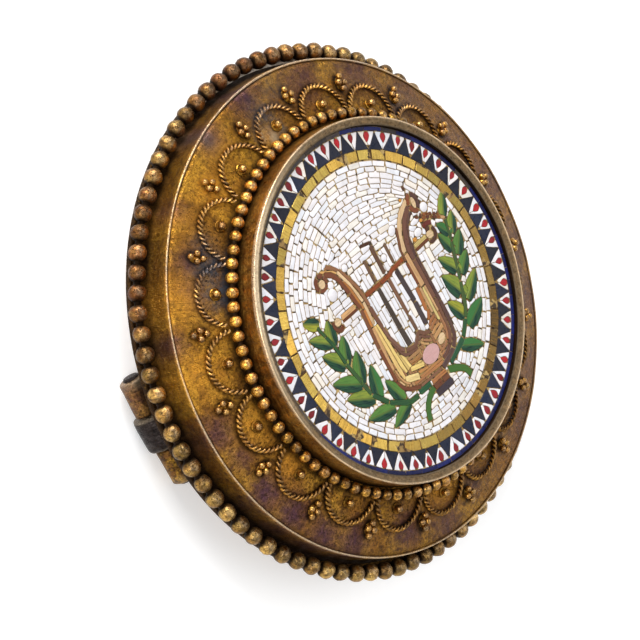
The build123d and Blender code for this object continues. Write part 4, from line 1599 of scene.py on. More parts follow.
# %% [markdown]
# ## Colours of the glass
#
# A short palette, as a mosaicist keeps it in trays.

# %% Palette
white = (216, 213, 216)
cool_white = (211, 211, 215)
warm_white = (216, 209, 199)
whites = [white, white, white, white, cool_white, warm_white]
navy = (28, 33, 49)
deep_blue = (26, 33, 84)
deep_red = (138, 22, 30)
gold = (212, 176, 84)
# painted_shade_gold: the gold ring's colour in its painted shade
painted_shade_gold = (106, 84, 46)
joint_brown = (66, 42, 24)
tan = (186, 144, 98)
peach = (202, 174, 134)
yellow = (198, 176, 110)
orange_tan = (168, 108, 48)
orange_brown = (150, 88, 40)
red_brown = (98, 50, 24)
mauve_brown = (100, 64, 46)
outer_brown = (126, 84, 52)
dark_brown = (68, 40, 26)
mauve_dark = (62, 38, 36)
ochre = (196, 134, 54)
pink = (186, 146, 142)
yellow_green = (144, 142, 42)
light_green = (122, 134, 48)
soft_green = (78, 116, 48)
mid_green = (48, 102, 50)
stem_green = (30, 64, 38)
teal = (18, 64, 46)
tail_green = (58, 92, 34)
print("whites, two of them rarer:", len(whites))


# %% [markdown]
# ## The lyre
#
# The lyre is drawn with long thin strips: a red-brown outline, tan and peach along the arms and a
# mauve-brown shade inside. Strips are listed from the top of each arm down to the soundbox, in
# hundredths of the field's radius. The order matters, because what is laid first keeps its place.

# %% Knobs and scroll ends
chance = random.Random(31)
lyre = "lyre_body"
bar = "lyre_crossbar"
rounded_pieces = [
    (lyre, peach, (-50, 42, 3.4, 3.0, 35)), (lyre, peach, (63.4, 44, 2.1, 4.3, -6)),
    (bar, peach, (-53.5, 13.3, 3.3, 2.9)), (bar, peach, (63.5, 17.5, 3.7, 3.0, -20)),
    (lyre, peach, (26, -47.6, 5.0, 3.0, 24)), (lyre, dark_brown, (61, 57, 1.2, 2.0)),
    (bar, ochre, (48, 22, 2.0, 1.5)), (bar, ochre, (62, 30, 1.7, 1.3)), (bar, tan, (83, 21, 2.4, 1.5, -25)),
    (lyre, ochre, (53, 51.6, 1.3, 1.1)),
]
for group, colour, oval in rounded_pieces:
    put_oval(group, colour, oval)
put_oval("lyre_stone", pink, (10.1, -51, 9.7, 6.4, 4, 16))
lay(lyre, oval_line(-50.3, 43.1, 5.3, 4.8, 35), 3.4, [red_brown, (116, 64, 34)], (0.6, 1.0), closed=True)
lay(lyre, oval_line(63.0, 44.4, 4.4, 6.4), 3.4, [(112, 56, 26), mauve_dark], (0.7, 1.2), closed=True)
lay(bar, [(-57.4, 15.6), (-58.2, 11.8), (-56.6, 8.4), (-53.2, 7.4), (-50.6, 9.4)], 3.0, red_brown)
lay(bar, [(68.6, 21), (69.4, 16.4), (66.8, 13), (62.6, 12.2), (60.6, 13.6)], 2.8, [red_brown, dark_brown])
print("knobs and scroll ends:", len(laid[lyre]) + len(laid[bar]))

# %% Left arm
left_arm = [
    ([(-44, 46), (-38, 42.5), (-34.4, 37), (-33, 31), (-31.5, 24), (-30, 18), (-29, 10)], (4.0, 3.0),
     red_brown),
    ([(-29.2, 9), (-29.6, 0), (-30.2, -8), (-31, -17), (-31.6, -28), (-31.6, -41), (-31.4, -48),
      (-29.4, -54.6), (-25, -59), (-19.5, -62), (-12.5, -64.4)], 2.9, [red_brown, (104, 60, 34)]),
    ([(-47, 49.4), (-41, 47), (-36, 44), (-33.6, 41)], 2.0, (198, 154, 92)),
    ([(-34.4, 39), (-31.2, 32), (-29, 26), (-28, 20), (-26.6, 10), (-26.9, 2), (-27.5, -6)],
     2.6, orange_tan),
    ([(-32, 42), (-28.8, 33), (-26.4, 26), (-25, 18), (-23.7, 10), (-24.2, 2), (-24.6, -6)], 2.6, peach),
    ([(-40, 50), (-33.5, 45.6), (-28.8, 39), (-25, 32), (-22.8, 26), (-21.4, 20), (-20.9, 14), (-20.5, 7)],
     3.0,
     outer_brown),
    ([(-20.7, 6), (-20.7, -2), (-19.4, -12)], 3.6, mauve_brown),
    ([(-19.2, -12), (-18.2, -20), (-15.2, -28), (-12, -34), (-6.5, -37.4), (1, -38), (5.4, -35.4),
      (9.2, -32.4), (13.6, -36), (19.5, -37.4)], 2.9, [mauve_brown, (108, 72, 56)]),
    ([(-18.4, -24), (-15.6, -33), (-12, -38.4), (-5, -40.4), (3, -40.2)], 2.5,
     [(112, 76, 58), (96, 62, 46)]),
    ([(6, -37.6), (9.2, -35.4), (13, -38.8), (17.6, -40.6)], 2.2, [(92, 60, 46)]),
    ([(-27.6, -7), (-27.9, -14), (-28.6, -22), (-28.7, -31), (-28.8, -41)], 3.0, [peach, tan]),
    ([(-24.9, -7), (-24.8, -14), (-25.2, -22), (-25.3, -31), (-24.8, -41), (-23, -52)],
     2.6, [(206, 176, 110), yellow]),
    ([(-22.4, -7), (-22.1, -16), (-22, -28), (-21, -38), (-18.8, -49)], 2.5, [yellow, (214, 190, 116)]),
    ([(-20.2, -22), (-19.8, -30), (-17.6, -38), (-15.4, -49)], 2.6, [(196, 166, 98), yellow]),
    ([(-18, -34), (-14.6, -39.6), (-13, -48)], 2.4, [(214, 190, 116)]),
]
lay_table(lyre, left_arm, (2.2, 4.4), 0.014)
print("lyre strips so far:", len(laid[lyre]))

# %% Right arm
right_arm = [
    ([(37, 38), (33, 29), (30.6, 22), (30.4, 14)], 2.0, (98, 54, 26)),
    ([(59, 49), (52, 46.4), (46, 43), (41, 38), (37, 32), (35, 26), (33.5, 19), (33.8, 11), (34.2, 2),
      (33.8, -8)],
     (3.6, 4.6), [tan, peach]),
    ([(58, 44.4), (52, 41.6), (47, 37.5), (43, 32), (40, 26), (38, 20), (38.2, 12), (38.2, 2), (38.4, -8),
      (38.6, -20), (38.6, -36), (36.8, -46.4), (33, -53), (26, -57.6), (19, -59.8)], (4.4, 3.0),
     [(86, 53, 42), (96, 62, 46)]),
    ([(56, 40.6), (50, 36.8), (46, 32.4), (43, 27), (42, 20), (41.6, 12), (41.4, 4), (41.6, -10),
      (41.8, -26), (41.8, -38), (40.2, -48.6), (36.4, -55.4), (29, -60.8), (20, -63.4),
      (13.6, -65)], (3.0, 3.8),
     [mauve_dark, (66, 43, 40)]),
    ([(30.6, 13), (31, 4), (30.8, -5)], 2.8, red_brown),
    ([(27.8, -6), (26.8, -14), (26, -24)], 3.4, orange_brown),
    ([(30.6, -8), (30.2, -18), (30.2, -28)], 2.4, tan),
    ([(33.2, -9), (32.8, -18), (32.8, -28), (32.8, -36.4)], 2.3, yellow),
    ([(35.6, -9), (35.6, -18), (35.6, -30)], 2.2, tan),
    ([(35.6, -30.6), (35.6, -38), (34.4, -46), (31, -51.8)], 2.8, [(150, 104, 68), (136, 90, 58)]),
]
lay_table(lyre, right_arm, (2.2, 4.4), 0.014)
print("lyre strips so far:", len(laid[lyre]))

# %% Soundbox
box_strips = [
    ([(-30, -42.4), (-29.6, -48.4), (-27, -54.4), (-21, -60.4), (-15, -62.2)], 1.6, [(206, 168, 122)]),
    ([(-27.8, -41.4), (-27.2, -47.6), (-24.6, -53.6), (-20, -57.6)], 1.6, [(178, 134, 86)]),
    ([(-19, -62.4), (-8, -64.6), (4, -65), (14, -64.6)], 2.2, [(112, 76, 54)]),
    ([(-23, -52.6), (-16.4, -55), (-9.6, -57.4)], 5.0, [(208, 186, 126)]),
    ([(-14, -49.4), (-7, -51.6), (-0.4, -52.8)], 3.3, [(214, 188, 112)]),
    ([(-12, -48), (-6, -49.2), (-0.6, -49.8)], 1.3, [(206, 176, 104)]),
    ([(-15, -41.8), (-6, -43.2), (4, -43)], 2.5, [(164, 120, 74)]),
    ([(-14, -44.4), (-6, -46), (2, -45.4)], 2.3, [(158, 110, 60)]),
    ([(-13, -47), (-6, -47.8), (-0.4, -47.6)], 1.4, [(150, 98, 48)]),
    ([(6.2, -38.8), (9, -42), (13, -44.4)], 1.9, [(186, 144, 92)]),
    ([(10, -39.4), (13.4, -42), (18, -44.4)], 2.0, [(146, 104, 68)]),
    ([(3, -41.2), (5.6, -43.6)], 2.6, [(140, 104, 68)]),
    ([(20, -41), (25, -38.6), (31.4, -37.6)], 2.3, [(170, 122, 70)]),
    ([(19.6, -44), (26, -42.4), (33.4, -40)], 3.0, [(180, 134, 82)]),
    ([(21, -38.4), (24.6, -35.4), (30.4, -33.4)], 2.6, [(152, 98, 50)]),
    ([(21.6, -34.4), (25, -32), (30, -30.6)], 2.4, [(146, 92, 48)]),
    ([(23.6, -30.6), (26, -27), (28, -24)], 2.6, [orange_brown]),
    ([(19.6, -57.6), (26, -56), (32.6, -52)], 2.6, [(160, 108, 66)]),
    ([(21, -54.4), (26, -53.6), (31.6, -50)], 2.3, [(148, 98, 58)]),
    ([(-10, -55), (-4, -55.8), (2, -56.8)], 2.2, [(168, 118, 64)]),
    ([(-10, -58.6), (0, -59.2), (19, -59)], 1.9, [(166, 114, 64)]),
    ([(-17, -59.4), (-8, -61), (2, -61.6), (18, -61.4)], 2.4, [(160, 106, 62)]),
]
lay_table(lyre, box_strips, (1.6, 3.4), 0.014)
print("lyre strips so far:", len(laid[lyre]))

# %% Crossbar, strings and base
bar_strips = [
    ([(-19, 14.5), (8, 14.5), (15, 16.2), (30, 17)], 3.2, [(122, 58, 22)]),
    ([(-48.6, 14), (-31.4, 14)], 3.4, [tan]), ([(-48.6, 11.3), (-31.4, 11.3)], 2.0, [red_brown]),
    ([(44.6, 18), (60, 18.6)], 3.0, [yellow]), ([(44.4, 15.4), (61, 15.8)], 2.0, [red_brown]),
    ([(60.6, 25.6), (65.5, 25.8), (70.5, 24)], 3.6, [(96, 34, 24)]),
    ([(61.5, 22), (66, 22.4)], 3.0, [dark_brown]),
]
lay_table(bar, bar_strips, (1.2, 3.2), 0.02)
crumb_browns = [dark_brown, (96, 50, 28), (124, 70, 30), (84, 44, 30)]
for points in (
    [(63, 33.6), (69, 31.4), (75, 28.2), (81, 24.6)], [(64, 30.8), (70, 28.6), (75, 25.8), (80.5, 22.4)],
    [(58, 34.6), (62, 32)], [(60, 29.4), (66, 28.4), (71, 26)],
):
    lay(bar, points, 2.3, crumb_browns, (0.2, 0.42), joint=0.016, nip=0.05)
cord_strips = [
    ([(-4.9, 17.2), (-4.9, 35)], 2.9, (98, 72, 52)), ([(7, 18), (7.2, 36), (6.6, 41)], 3.2, (92, 64, 46)),
    ([(8, 42.6), (3, 43.4), (-3, 45)], 1.9, dark_brown), ([(19.5, 19.4), (19.6, 35)], 2.4, (104, 78, 54)),
    ([(-5.2, 12.6), (-5.0, -10), (-4.2, -24), (-3.6, -36)], (3.4, 4.8), (62, 52, 44)),
    ([(7.6, 12.6), (8.2, -10), (8.8, -31)], (3.2, 2.7), (108, 76, 56)),
    ([(18, 14.4), (19.2, -4), (20.2, -20), (19.4, -31.5)], (4.2, 4.6), (58, 50, 52)),
]
lay_table("lyre_strings", cord_strips, (2.0, 3.4))
base = "lyre_base"
lay(base, [(-1.4, -67.8), (7, -68), (15.6, -67.8)], 3.2, (160, 106, 62))
lay(base, [(-2, -71.8), (16.2, -71.8)], 4.4, (102, 58, 32), (0.9, 1.8))
lay(base, [(-2.6, -76.8), (16.8, -76.8)], 5.4, (50, 42, 50), (1.4, 2.2))
print("lyre strips:", sum(len(laid[group]) for group in (lyre, bar, "lyre_strings", base)))


# %% [markdown]
# ## The laurel
#
# A leaf is one strip, wide in its middle and pointed at its tip. The mosaicist lays the stem
# first and fits each leaf to it, so a leaf here is a row of one piece along its midrib, cut to
# the room that is left. The tables give each leaf's tip, the point where it meets the stem, its
# width, its light half's side and that half's green.

# %% Leaves and stems
leaf_fullness = 1.06
left_leaves = [
    ((-83, 29), (-70, 21), 9, 1, yellow_green), ((-62, 20), (-67, 2), 11, 1, light_green),
    ((-85, 17), (-67.5, 4), 9.5, -1, light_green), ((-81, 2), (-64, -16), 12, -1, light_green),
    ((-55.5, 4), (-65, -15), 11, 1, soft_green), ((-85, -18.5), (-60, -33), 11.5, -1, soft_green),
    ((-51.5, -11), (-61, -33), 12, 1, soft_green), ((-80, -34), (-56, -47), 12, -1, light_green),
    ((-45.5, -26), (-53, -50), 11.5, -1, mid_green), ((-71, -56), (-44, -62.5), 10.5, -1, soft_green),
    ((-40.5, -42), (-33, -63), 10.5, -1, soft_green), ((-53, -74), (-29, -66), 9.5, -1, soft_green),
]
right_leaves = [
    ((94, 37), (83, 21), 8.5, 1, light_green), ((73.5, 20.5), (83, 7), 9, -1, mid_green),
    ((93, 21), (84, 7), 9.5, 1, light_green), ((70.5, 14), (78, -5), 9.5, -1, soft_green),
    ((92, 6), (79, -8), 10.5, 1, soft_green), ((59.5, 0), (74, -19), 11, -1, light_green),
    ((89, -9.5), (73, -21), 10.5, 1, soft_green), ((54.5, -12), (68, -36), 14, -1, light_green),
    ((88, -25), (67, -39), 10.5, 1, light_green), ((47.5, -30), (58, -48), 11.5, -1, yellow_green),
    ((80, -45), (56, -55), 11.5, 1, mid_green), ((61, -73), (40, -62), 9.5, 1, mid_green),
]
left_stems = [
    ([(-17, -66.5), (-3, -67)], 5.0, [teal]),
    ([(-19, -68), (-28, -67.5), (-36, -64), (-45, -58), (-52, -51), (-57, -44)], 3.8, [stem_green]),
    ([(-57.4, -43), (-61, -32), (-65, -14), (-67, 3), (-70, 12), (-73, 21)], (3.4, 2.6),
     [stem_green, (48, 70, 40)]),
    ([(-2, -71), (-10, -74), (-16, -79), (-19, -84), (-20.5, -89)], 4.5, [tail_green]),
]
right_stems = [
    ([(23, -66), (32, -64), (42, -60), (50, -55), (56, -49)], 3.8, [(26, 66, 48), stem_green]),
    ([(56.6, -48), (62, -41), (66, -32), (70, -22), (74, -12), (78, 0), (82, 10), (84, 20)], (3.4, 2.6),
     [(56, 68, 34)]),
    ([(18, -69), (26, -72), (33, -77), (36, -84)], 5.0, [tail_green]),
]
leaf_grain = {}


def lay_leaf(group, tip, foot, width, light_side, colour):
    """One leaf along its midrib, cut to the room that is left."""
    line = smooth_line(in_field([foot, tip]))
    part = np.linspace(0, 1, len(line))
    half = width * share / 2 * leaf_fullness * np.sin(math.pi * (0.18 + 0.82 * part)) ** 0.8
    across, starts, ends = free_widths(line, -half, half, 0.01)
    wide = np.flatnonzero(ends - starts > 0.05)
    first = last = wide[len(wide) // 2]
    while first - 1 in wide:
        first -= 1
    while last + 1 in wide:
        last += 1
    steps = [*range(first, last, 3), last]
    low_side = [tuple(line[k] + across[k] * starts[k]) for k in steps]
    high_side = [tuple(line[k] + across[k] * ends[k]) for k in steps]
    ahead = tuple(np.subtract(tip, foot) / math.dist(tip, foot))
    put(group, straightened(low_side + high_side[::-1], 0.01), colour, ahead)
    claim_group(group, -1)
    leaf_grain[(group, len(laid[group]) - 1)] = (tuple(line[len(line) // 2]), light_side)


for group, stems, leaves in (
    ("laurel_left", left_stems, left_leaves), ("laurel_right", right_stems, right_leaves)
):
    lay_table(group, stems, (1.8, 3.2), 0.01)
    for leaf in leaves:
        lay_leaf(group, *leaf)
    print(group, "pieces:", len(laid[group]))


# %% [markdown]
# ## The white ground
#
# White strips follow the border in rings, arch over the lyre, stand in columns between the strings
# and fan out round the leaves. Each block below names its rows. Blocks are laid in order, and a
# last pass of short rows fills what is left, as chips do on a real mosaic.

# %% Rows of white
chance = random.Random(41)
ground = "white_field"
white_pitch = 0.4
white_joint = 0.034
closing_up = 0.1
row_waver = 0.035


def lay_block(lines, lengths=(0.75, 1.25), where=None, width=white_pitch - white_joint):
    """Lays several rows of white strips."""
    for line in lines:
        joint = white_joint * chance.uniform(0.6, 1.5)
        low = -width / 2 - closing_up
        lay_row(ground, line, low, width / 2, whites, lengths, joint, 0.035, where=where, waver=row_waver)


def ring_line(radius, start_deg, end_deg, centre_y=0.0):
    """A row along a circle, walked so that its outside is on the low side."""
    count = max(int(math.radians(abs(end_deg - start_deg)) * radius / step_mm), 4)
    angles = np.radians(np.linspace(start_deg, end_deg, count))
    return np.column_stack([radius * np.cos(angles), centre_y + radius * np.sin(angles)])


def box_rows(x_low, x_high, y_low, y_high, angle_deg, pitch=white_pitch):
    """Straight rows side by side over a box, and a rule that keeps them in it."""
    reach = math.hypot(x_high - x_low, y_high - y_low)
    angle = math.radians(angle_deg)
    places = np.arange(-reach / 2, reach / 2, step_mm)
    lines = []
    for offset in np.arange(-reach / 2, reach / 2 + pitch, pitch):
        x = (x_low + x_high) / 2 - math.sin(angle) * offset
        y = (y_low + y_high) / 2 + math.cos(angle) * offset
        lines.append(np.column_stack([x + places * math.cos(angle), y + places * math.sin(angle)]))
    return lines, lambda x, y: (x > x_low) & (x < x_high) & (y > y_low) & (y < y_high)


print("white rows", white_pitch, "mm apart")

# %% Browns that close the lyre
closed_areas = [
    [(-44, 47.5), (-40, 50.5), (-33, 46), (-28, 39), (-24, 32), (-21.6, 26), (-20.4, 20), (-19.6, 14),
     (-19.2, 4), (-19, -6), (-29.4, -6), (-29.4, 9), (-31, 20), (-34.5, 34), (-38, 41)],
    [(59, 50.5), (46, 44.5), (38, 36), (33.5, 26), (30.6, 14), (29.6, 0), (27.6, -7), (42, -7), (42.5, 10),
     (43.5, 24), (50, 35), (57, 39.5), (60, 43)],
    [(-29, -5), (-22, -5), (-19.4, -12), (-17, -19.5), (-14, -27), (-10.6, -33.4), (-6, -36.4), (0, -37),
     (4.6, -34.4), (8.6, -31), (13.4, -34.4), (19, -36.4), (23, -32), (25.4, -24), (27, -6), (39, -6),
     (42, -26), (42, -40), (36.4, -56), (19, -64), (0, -65.4), (-12.5, -64.6), (-25, -59.4), (-31, -51),
     (-31.8, -28)],
]
fill_browns = [(146, 104, 66), (130, 90, 56), (160, 120, 78)]
for angle_deg, pitch in ((90, 0.24), (0, 0.22), (-35, 0.2), (40, 0.18)):
    for area in closed_areas:
        outline = in_field(area)
        for line in box_rows(-4.6, 6.2, -6.5, 5.2, angle_deg, pitch)[0]:
            lay_row(
                lyre, line, -pitch / 2, pitch / 2, fill_browns, (0.5, 1.2), 0.012, nip=0.01,
                where=lambda x, y: outline_distance(x, y, outline) < 0,
            )
print("lyre body in all:", len(laid[lyre]))

# %% Rings along the border
for oval in (
    (-46, 31, 4.8, 4.6, 20, 14), (-43.3, 37.3, 3.0, 2.9), (-24.3, 40.4, 3.1, 2.9), (32, 38.4, 4.4, 3.4, 30),
    (70.5, 36.4, 4.0, 3.8), (54, 24.6, 4.2, 3.1), (56, 32.4, 4.8, 2.2), (13, 27, 3.0, 2.8),
):
    put_oval(ground, white, oval)
put(ground, in_field([(-35.6, 50), (-24.6, 50), (-29.4, 42.4)]), white)
claim_group(ground, -1)
ring_radii = [field_radius - 0.02 - (number + 0.5) * white_pitch for number in range(10)]
for radius in ring_radii[:3]:
    start = chance.uniform(0, 360)
    lay_block([ring_line(radius, start, start + 359.5)])
for radius in ring_radii[3:]:
    lay_block([ring_line(radius, 112, 172)], where=lambda x, y: (y > 2.6) & (x < -2.6))
print("white strips so far:", len(laid[ground]))

# %% Arches over the lyre
arch_lines = []
for top in np.arange(8.3, 3.4, -white_pitch * 0.985):
    bend = 8.4 if top > 7.2 else 8.4 + (7.2 - top) * 5.6
    half_deg = math.degrees(math.asin(min(7.6 / bend, 0.999)))
    arch_lines.append(ring_line(bend, 90 - half_deg, 90 + half_deg, top - bend))
lay_block(arch_lines, (0.8, 1.3), where=lambda x, y: y > 3.0 + 0.1 * np.abs(x))
print("white strips so far:", len(laid[ground]))

# %% Columns and rows round the lyre
blocks = [
    (-2.3, 3.4, 1.6, 3.6, 90), (-2.4, 3.2, -3.6, 1.6, 90), (-3.6, 4.4, 3.5, 4.8, 0),
    (-5.7, -2.8, -4.8, 0.35, 90), (-5.6, -2.8, 0.35, 1.0, 0), (-5.2, -2.9, 1.5, 2.6, 0),
    (-6.6, -4.9, 1.6, 3.6, 62), (4.1, 5.5, -5.2, 1.1, 90), (5.2, 6.9, 0.1, 1.4, 0),
    (4.0, 6.2, 2.1, 4.1, -35),
]
for block in blocks:
    lines, rule = box_rows(*block)
    lay_block(lines, (0.8, 1.35), where=rule)
print("white strips so far:", len(laid[ground]))


# %% Short strips between the leaves
def beside_stem(stem, side):
    """A rule for the ground on one side of a stem."""
    line = smooth_line(in_field(stem))[::6]
    ahead = np.gradient(line, axis=0)

    def rule(x, y):
        gap_x = x[:, None] - line[:, 0]
        gap_y = y[:, None] - line[:, 1]
        near = np.argmin(np.hypot(gap_x, gap_y), axis=1)
        pick = np.arange(len(x))
        turn = ahead[near, 0] * gap_y[pick, near] - ahead[near, 1] * gap_x[pick, near]
        return (turn * side > 0) & (np.hypot(gap_x, gap_y)[pick, near] < 2.6)
    return rule


left_stem = left_stems[1][0] + left_stems[2][0]
right_stem = right_stems[0][0] + right_stems[1][0]
narrowing = 0.95
for stem, side, box, angle_deg in (
    (left_stem, -1, (-8.6, -3.5, -7.5, 3.0), -30), (left_stem, 1, (-7.0, -2.5, -6.5, 2.5), 56),
    (right_stem, 1, (5.0, 8.0, -7.0, 3.5), -50), (right_stem, -1, (3.0, 9.0, -7.5, 4.5), 40),
):
    lines, in_box = box_rows(*box, angle_deg, white_pitch * narrowing)
    on_side = beside_stem(stem, side)
    width = (white_pitch - white_joint) * narrowing
    lay_block(lines, (0.6, 1.0), where=lambda x, y: in_box(x, y) & on_side(x, y), width=width)
print("white strips so far:", len(laid[ground]))

# %% Chips that fill the rest
for angle_deg, pitch in ((0, 0.38), (90, 0.36), (30, 0.34), (-40, 0.3)):
    lines = box_rows(-9.6, 9.6, -9.6, 9.6, angle_deg, pitch)[0]
    lay_block(lines, (0.5, 0.95), width=pitch - white_joint)
print("white strips in all:", len(laid[ground]))


# %% [markdown]
# ## The border
#
# From outside in: a thin blue ring, white triangles with a red diamond in each, navy triangles
# that point outwards and a ring of gold-backed glass. Nothing here is even. Each triangle leans and
# changes width a little, and the gold is cut into uneven lengths.

# %% Navy triangles
chance = random.Random(51)
triangle_count = 50
triangle_step = math.tau / triangle_count
triangle_base = gold_radius + 0.03
Triangle = namedtuple("Triangle", "middle tip half_left half_right reach")


def ring_point(radius, angle, side=0.0):
    """A point by radius, angle and a distance to the side in millimetres."""
    return (radius * math.cos(angle + side / radius), radius * math.sin(angle + side / radius))


def flank(triangle, side, radius):
    """Angle of a triangle's side at a radius. side is -1 or 1."""
    part = min(max((radius - triangle_base) / (triangle.reach - triangle_base), 0), 1)
    half = triangle.half_left if side < 0 else triangle.half_right
    tip_half = 0.05 / triangle_radius
    hollow = -0.05 * half * math.sin(math.pi * part)
    middle = triangle.middle + (triangle.tip - triangle.middle) * part
    return middle + side * (half + (tip_half - half) * part + hollow)


triangles = []
for index in range(triangle_count):
    middle = (index + 0.22) * triangle_step
    tip = middle + chance.uniform(-0.15, 0.15) * triangle_step
    halves = [triangle_step * chance.uniform(0.47, 0.492) for side in (-1, 1)]
    triangles.append(Triangle(middle, tip, *halves, triangle_radius - chance.uniform(0.0, 0.1)))
for triangle in triangles:
    heights = [triangle_base + (triangle.reach - triangle_base) * part for part in (0, 0.35, 0.7, 1)]
    shape = [ring_point(radius, flank(triangle, -1, radius)) for radius in heights]
    shape += [ring_point(radius, flank(triangle, 1, radius)) for radius in heights[::-1]]
    outline = nipped(shape, 0.02)
    put("navy_triangles", outline, tinted(navy, 0.22), ring_point(1, triangle.middle))
print("navy triangles:", triangle_count)

# %% Red drops and the white round them
drop_shape = [(0.31, 0.06), (0.23, 0.17), (0.06, 0.235), (-0.12, 0.18), (-0.36, 0.03)]
drop_gap = 0.028
outer = triangle_radius + 0.01
for index in range(triangle_count):
    before = triangles[index - 1]
    after = triangles[index]
    turn = math.tau if index == 0 else 0

    def cell_side(side, radius):
        """The white cell's edge at a radius, with a joint that is wider now and then."""
        joint = joints[side] / radius
        if side < 0:
            return flank(before, 1, radius) - turn + joint
        return flank(after, -1, radius) - joint

    joints = {side: 0.06 if chance.random() < 0.25 else 0.022 for side in (-1, 1)}
    axis = (cell_side(-1, outer) + cell_side(1, outer)) / 2
    core = outer - 0.33 - chance.uniform(0.0, 0.06)
    size = chance.uniform(0.88, 1.1)
    width = size * chance.uniform(0.9, 1.12)
    lean = chance.uniform(-0.03, 0.03)
    drop = [(rise * size, side * width + lean * rise / 0.3) for rise, side in drop_shape]
    drop += [(rise * size, -side * width + lean * rise / 0.3) for rise, side in drop_shape[::-1]]
    outline = nipped([ring_point(core + rise, axis, side) for rise, side in drop], 0.03)
    put("red_diamonds", outline, tinted(deep_red, 0.2), ring_point(1, axis))
    narrow = [triangle_base + (outer - triangle_base) * part for part in np.linspace(1, 0.04, 6)]
    radii = [radius for radius in narrow if cell_side(1, radius) - cell_side(-1, radius) > 0.05 / radius]
    foot_axis = (cell_side(-1, radii[-1]) + cell_side(1, radii[-1])) / 2
    for side in (-1, 1):
        edge = [ring_point(radius, cell_side(side, radius)) for radius in radii]
        near = []
        for rise, reach in drop_shape:
            radius = core + rise * size + (drop_gap if rise > 0.15 else 0)
            limit = abs(cell_side(side, radius) - axis) * radius - 0.035
            offset = side * min(reach * width + drop_gap, limit) + lean * rise / 0.3
            near.append(ring_point(radius, axis, offset))
        low = ring_point(max(radii[-1], triangle_base + 0.04), foot_axis, side * 0.012)
        point_low = ring_point(core - 0.36 * size - drop_gap, axis, side * 0.014)
        half = edge + [low, point_low] + near[:0:-1] + [ring_point(outer, axis, side * 0.14)]
        half = straightened(half if side > 0 else half[::-1], 0.006)
        colour = tinted(chance.choice(whites), 0.05)
        put("white_triangles", nipped(half, 0.02), colour, ring_point(1, axis))
print("red drops:", len(laid["red_diamonds"]))


# %% Gold and blue rings
def span_outline(inner, outer, start, end, inner_lean=0.0, steps=5):
    """Outline of a curved piece between two radii and two angles."""
    far = [ring_point(outer, start + (end - start) * k / steps) for k in range(steps + 1)]
    near = [ring_point(inner, start + inner_lean + (end - start) * k / steps) for k in range(steps + 1)]
    return far + near[::-1]


def cut_lengths(radius, shortest, longest):
    """Angles of the joints of a ring, cut into uneven lengths."""
    angles = [0.0]
    while math.tau - angles[-1] > longest / radius:
        angles.append(angles[-1] + chance.uniform(shortest, longest) / radius)
    return angles + [math.tau]


gold_inner = field_radius + 0.04
joint_sliver = 0.05
angles = cut_lengths(gold_radius, 1.2, 1.85)
for start, end in zip(angles, angles[1:]):
    gap = (0.03 + joint_sliver / 2) / gold_radius
    # painted shade: gold pieces darken towards -48 degrees round the ring
    off = math.degrees((start + end) / 2 + math.radians(48) + math.pi) % 360 - 180
    painted_shade = math.exp(-((off / 58) ** 2)) * chance.uniform(0.8, 1.15)
    colour = [bright + (dull - bright) * painted_shade for bright, dull in zip(gold, painted_shade_gold)]
    lean = chance.uniform(-0.005, 0.005)
    inner = gold_inner + chance.uniform(0, 0.03)
    outline = span_outline(inner, gold_radius - chance.uniform(0, 0.02), start + gap, end - gap, lean)
    ahead = ring_point(1, (start + end) / 2)
    put("gold_ring", nipped(outline, 0.03), tinted(colour, 0.12), ahead)
    sliver = joint_sliver / 2 / gold_radius
    outline = span_outline(gold_inner + 0.02, gold_radius - 0.02, start - sliver, start + sliver, 0, 1)
    put("gold_ring", outline, tinted(joint_brown, 0.2), ahead)
blue_inner = triangle_radius + 0.045
angles = cut_lengths(blue_radius, 0.9, 1.8)
for start, end in zip(angles, angles[1:]):
    gap = 0.018 / blue_radius
    inner = blue_inner + chance.uniform(0, 0.02)
    outline = span_outline(inner, blue_radius, start + gap, end - gap, steps=4)
    across = ring_point(1, (start + end) / 2 + math.pi / 2)
    angle_deg = math.degrees((start + end) / 2)
    browned = 88 < angle_deg < 200 or (angle_deg < 215 and chance.random() < 0.3)
    put("blue_ring", outline, tinted((80, 68, 56) if browned else deep_blue, 0.22), across)
print("gold pieces:", len(laid["gold_ring"]), "blue pieces:", len(laid["blue_ring"]))


# %% [markdown]
# ## From outlines to glass
#
# Each outline is now a flat face. Solidify gives all of a group's faces their depth in one call,
# and an inset of each top face that also lifts it leaves a small chipped edge all round. Before
# that, each face is tipped by a hair, so that the strips catch the light one by one.

# %% Raising the strips
chip_width = 0.02
chip_drop = 0.018
top_level = mosaic_level - 0.15
usual_tip = 0.022


def weld_turned_edges(bm, edge):
    """Where an inset is wider than a nipped corner, its short edge turns round. Its ends are welded."""
    for attempt in range(8):
        pairs = {}
        used = set()
        for face in bm.faces:
            if any(vert[edge] for vert in face.verts):
                continue
            for loop in face.loops:
                start = loop.vert
                end = loop.link_loop_next.vert
                rim = next((other for other in loop.edge.link_faces if other is not face), None)
                if rim is None or start in used or end in used:
                    continue
                far = [other for other in rim.loops if not {start, end} & set(other.edge.verts)]
                if far and (end.co - start.co).dot(far[0].link_loop_next.vert.co - far[0].vert.co) < 0:
                    start.co = (start.co + end.co) / 2
                    pairs[end] = start
                    used.update((start, end))
        if not pairs:
            break
        bmesh.ops.weld_verts(bm, targetmap=pairs)


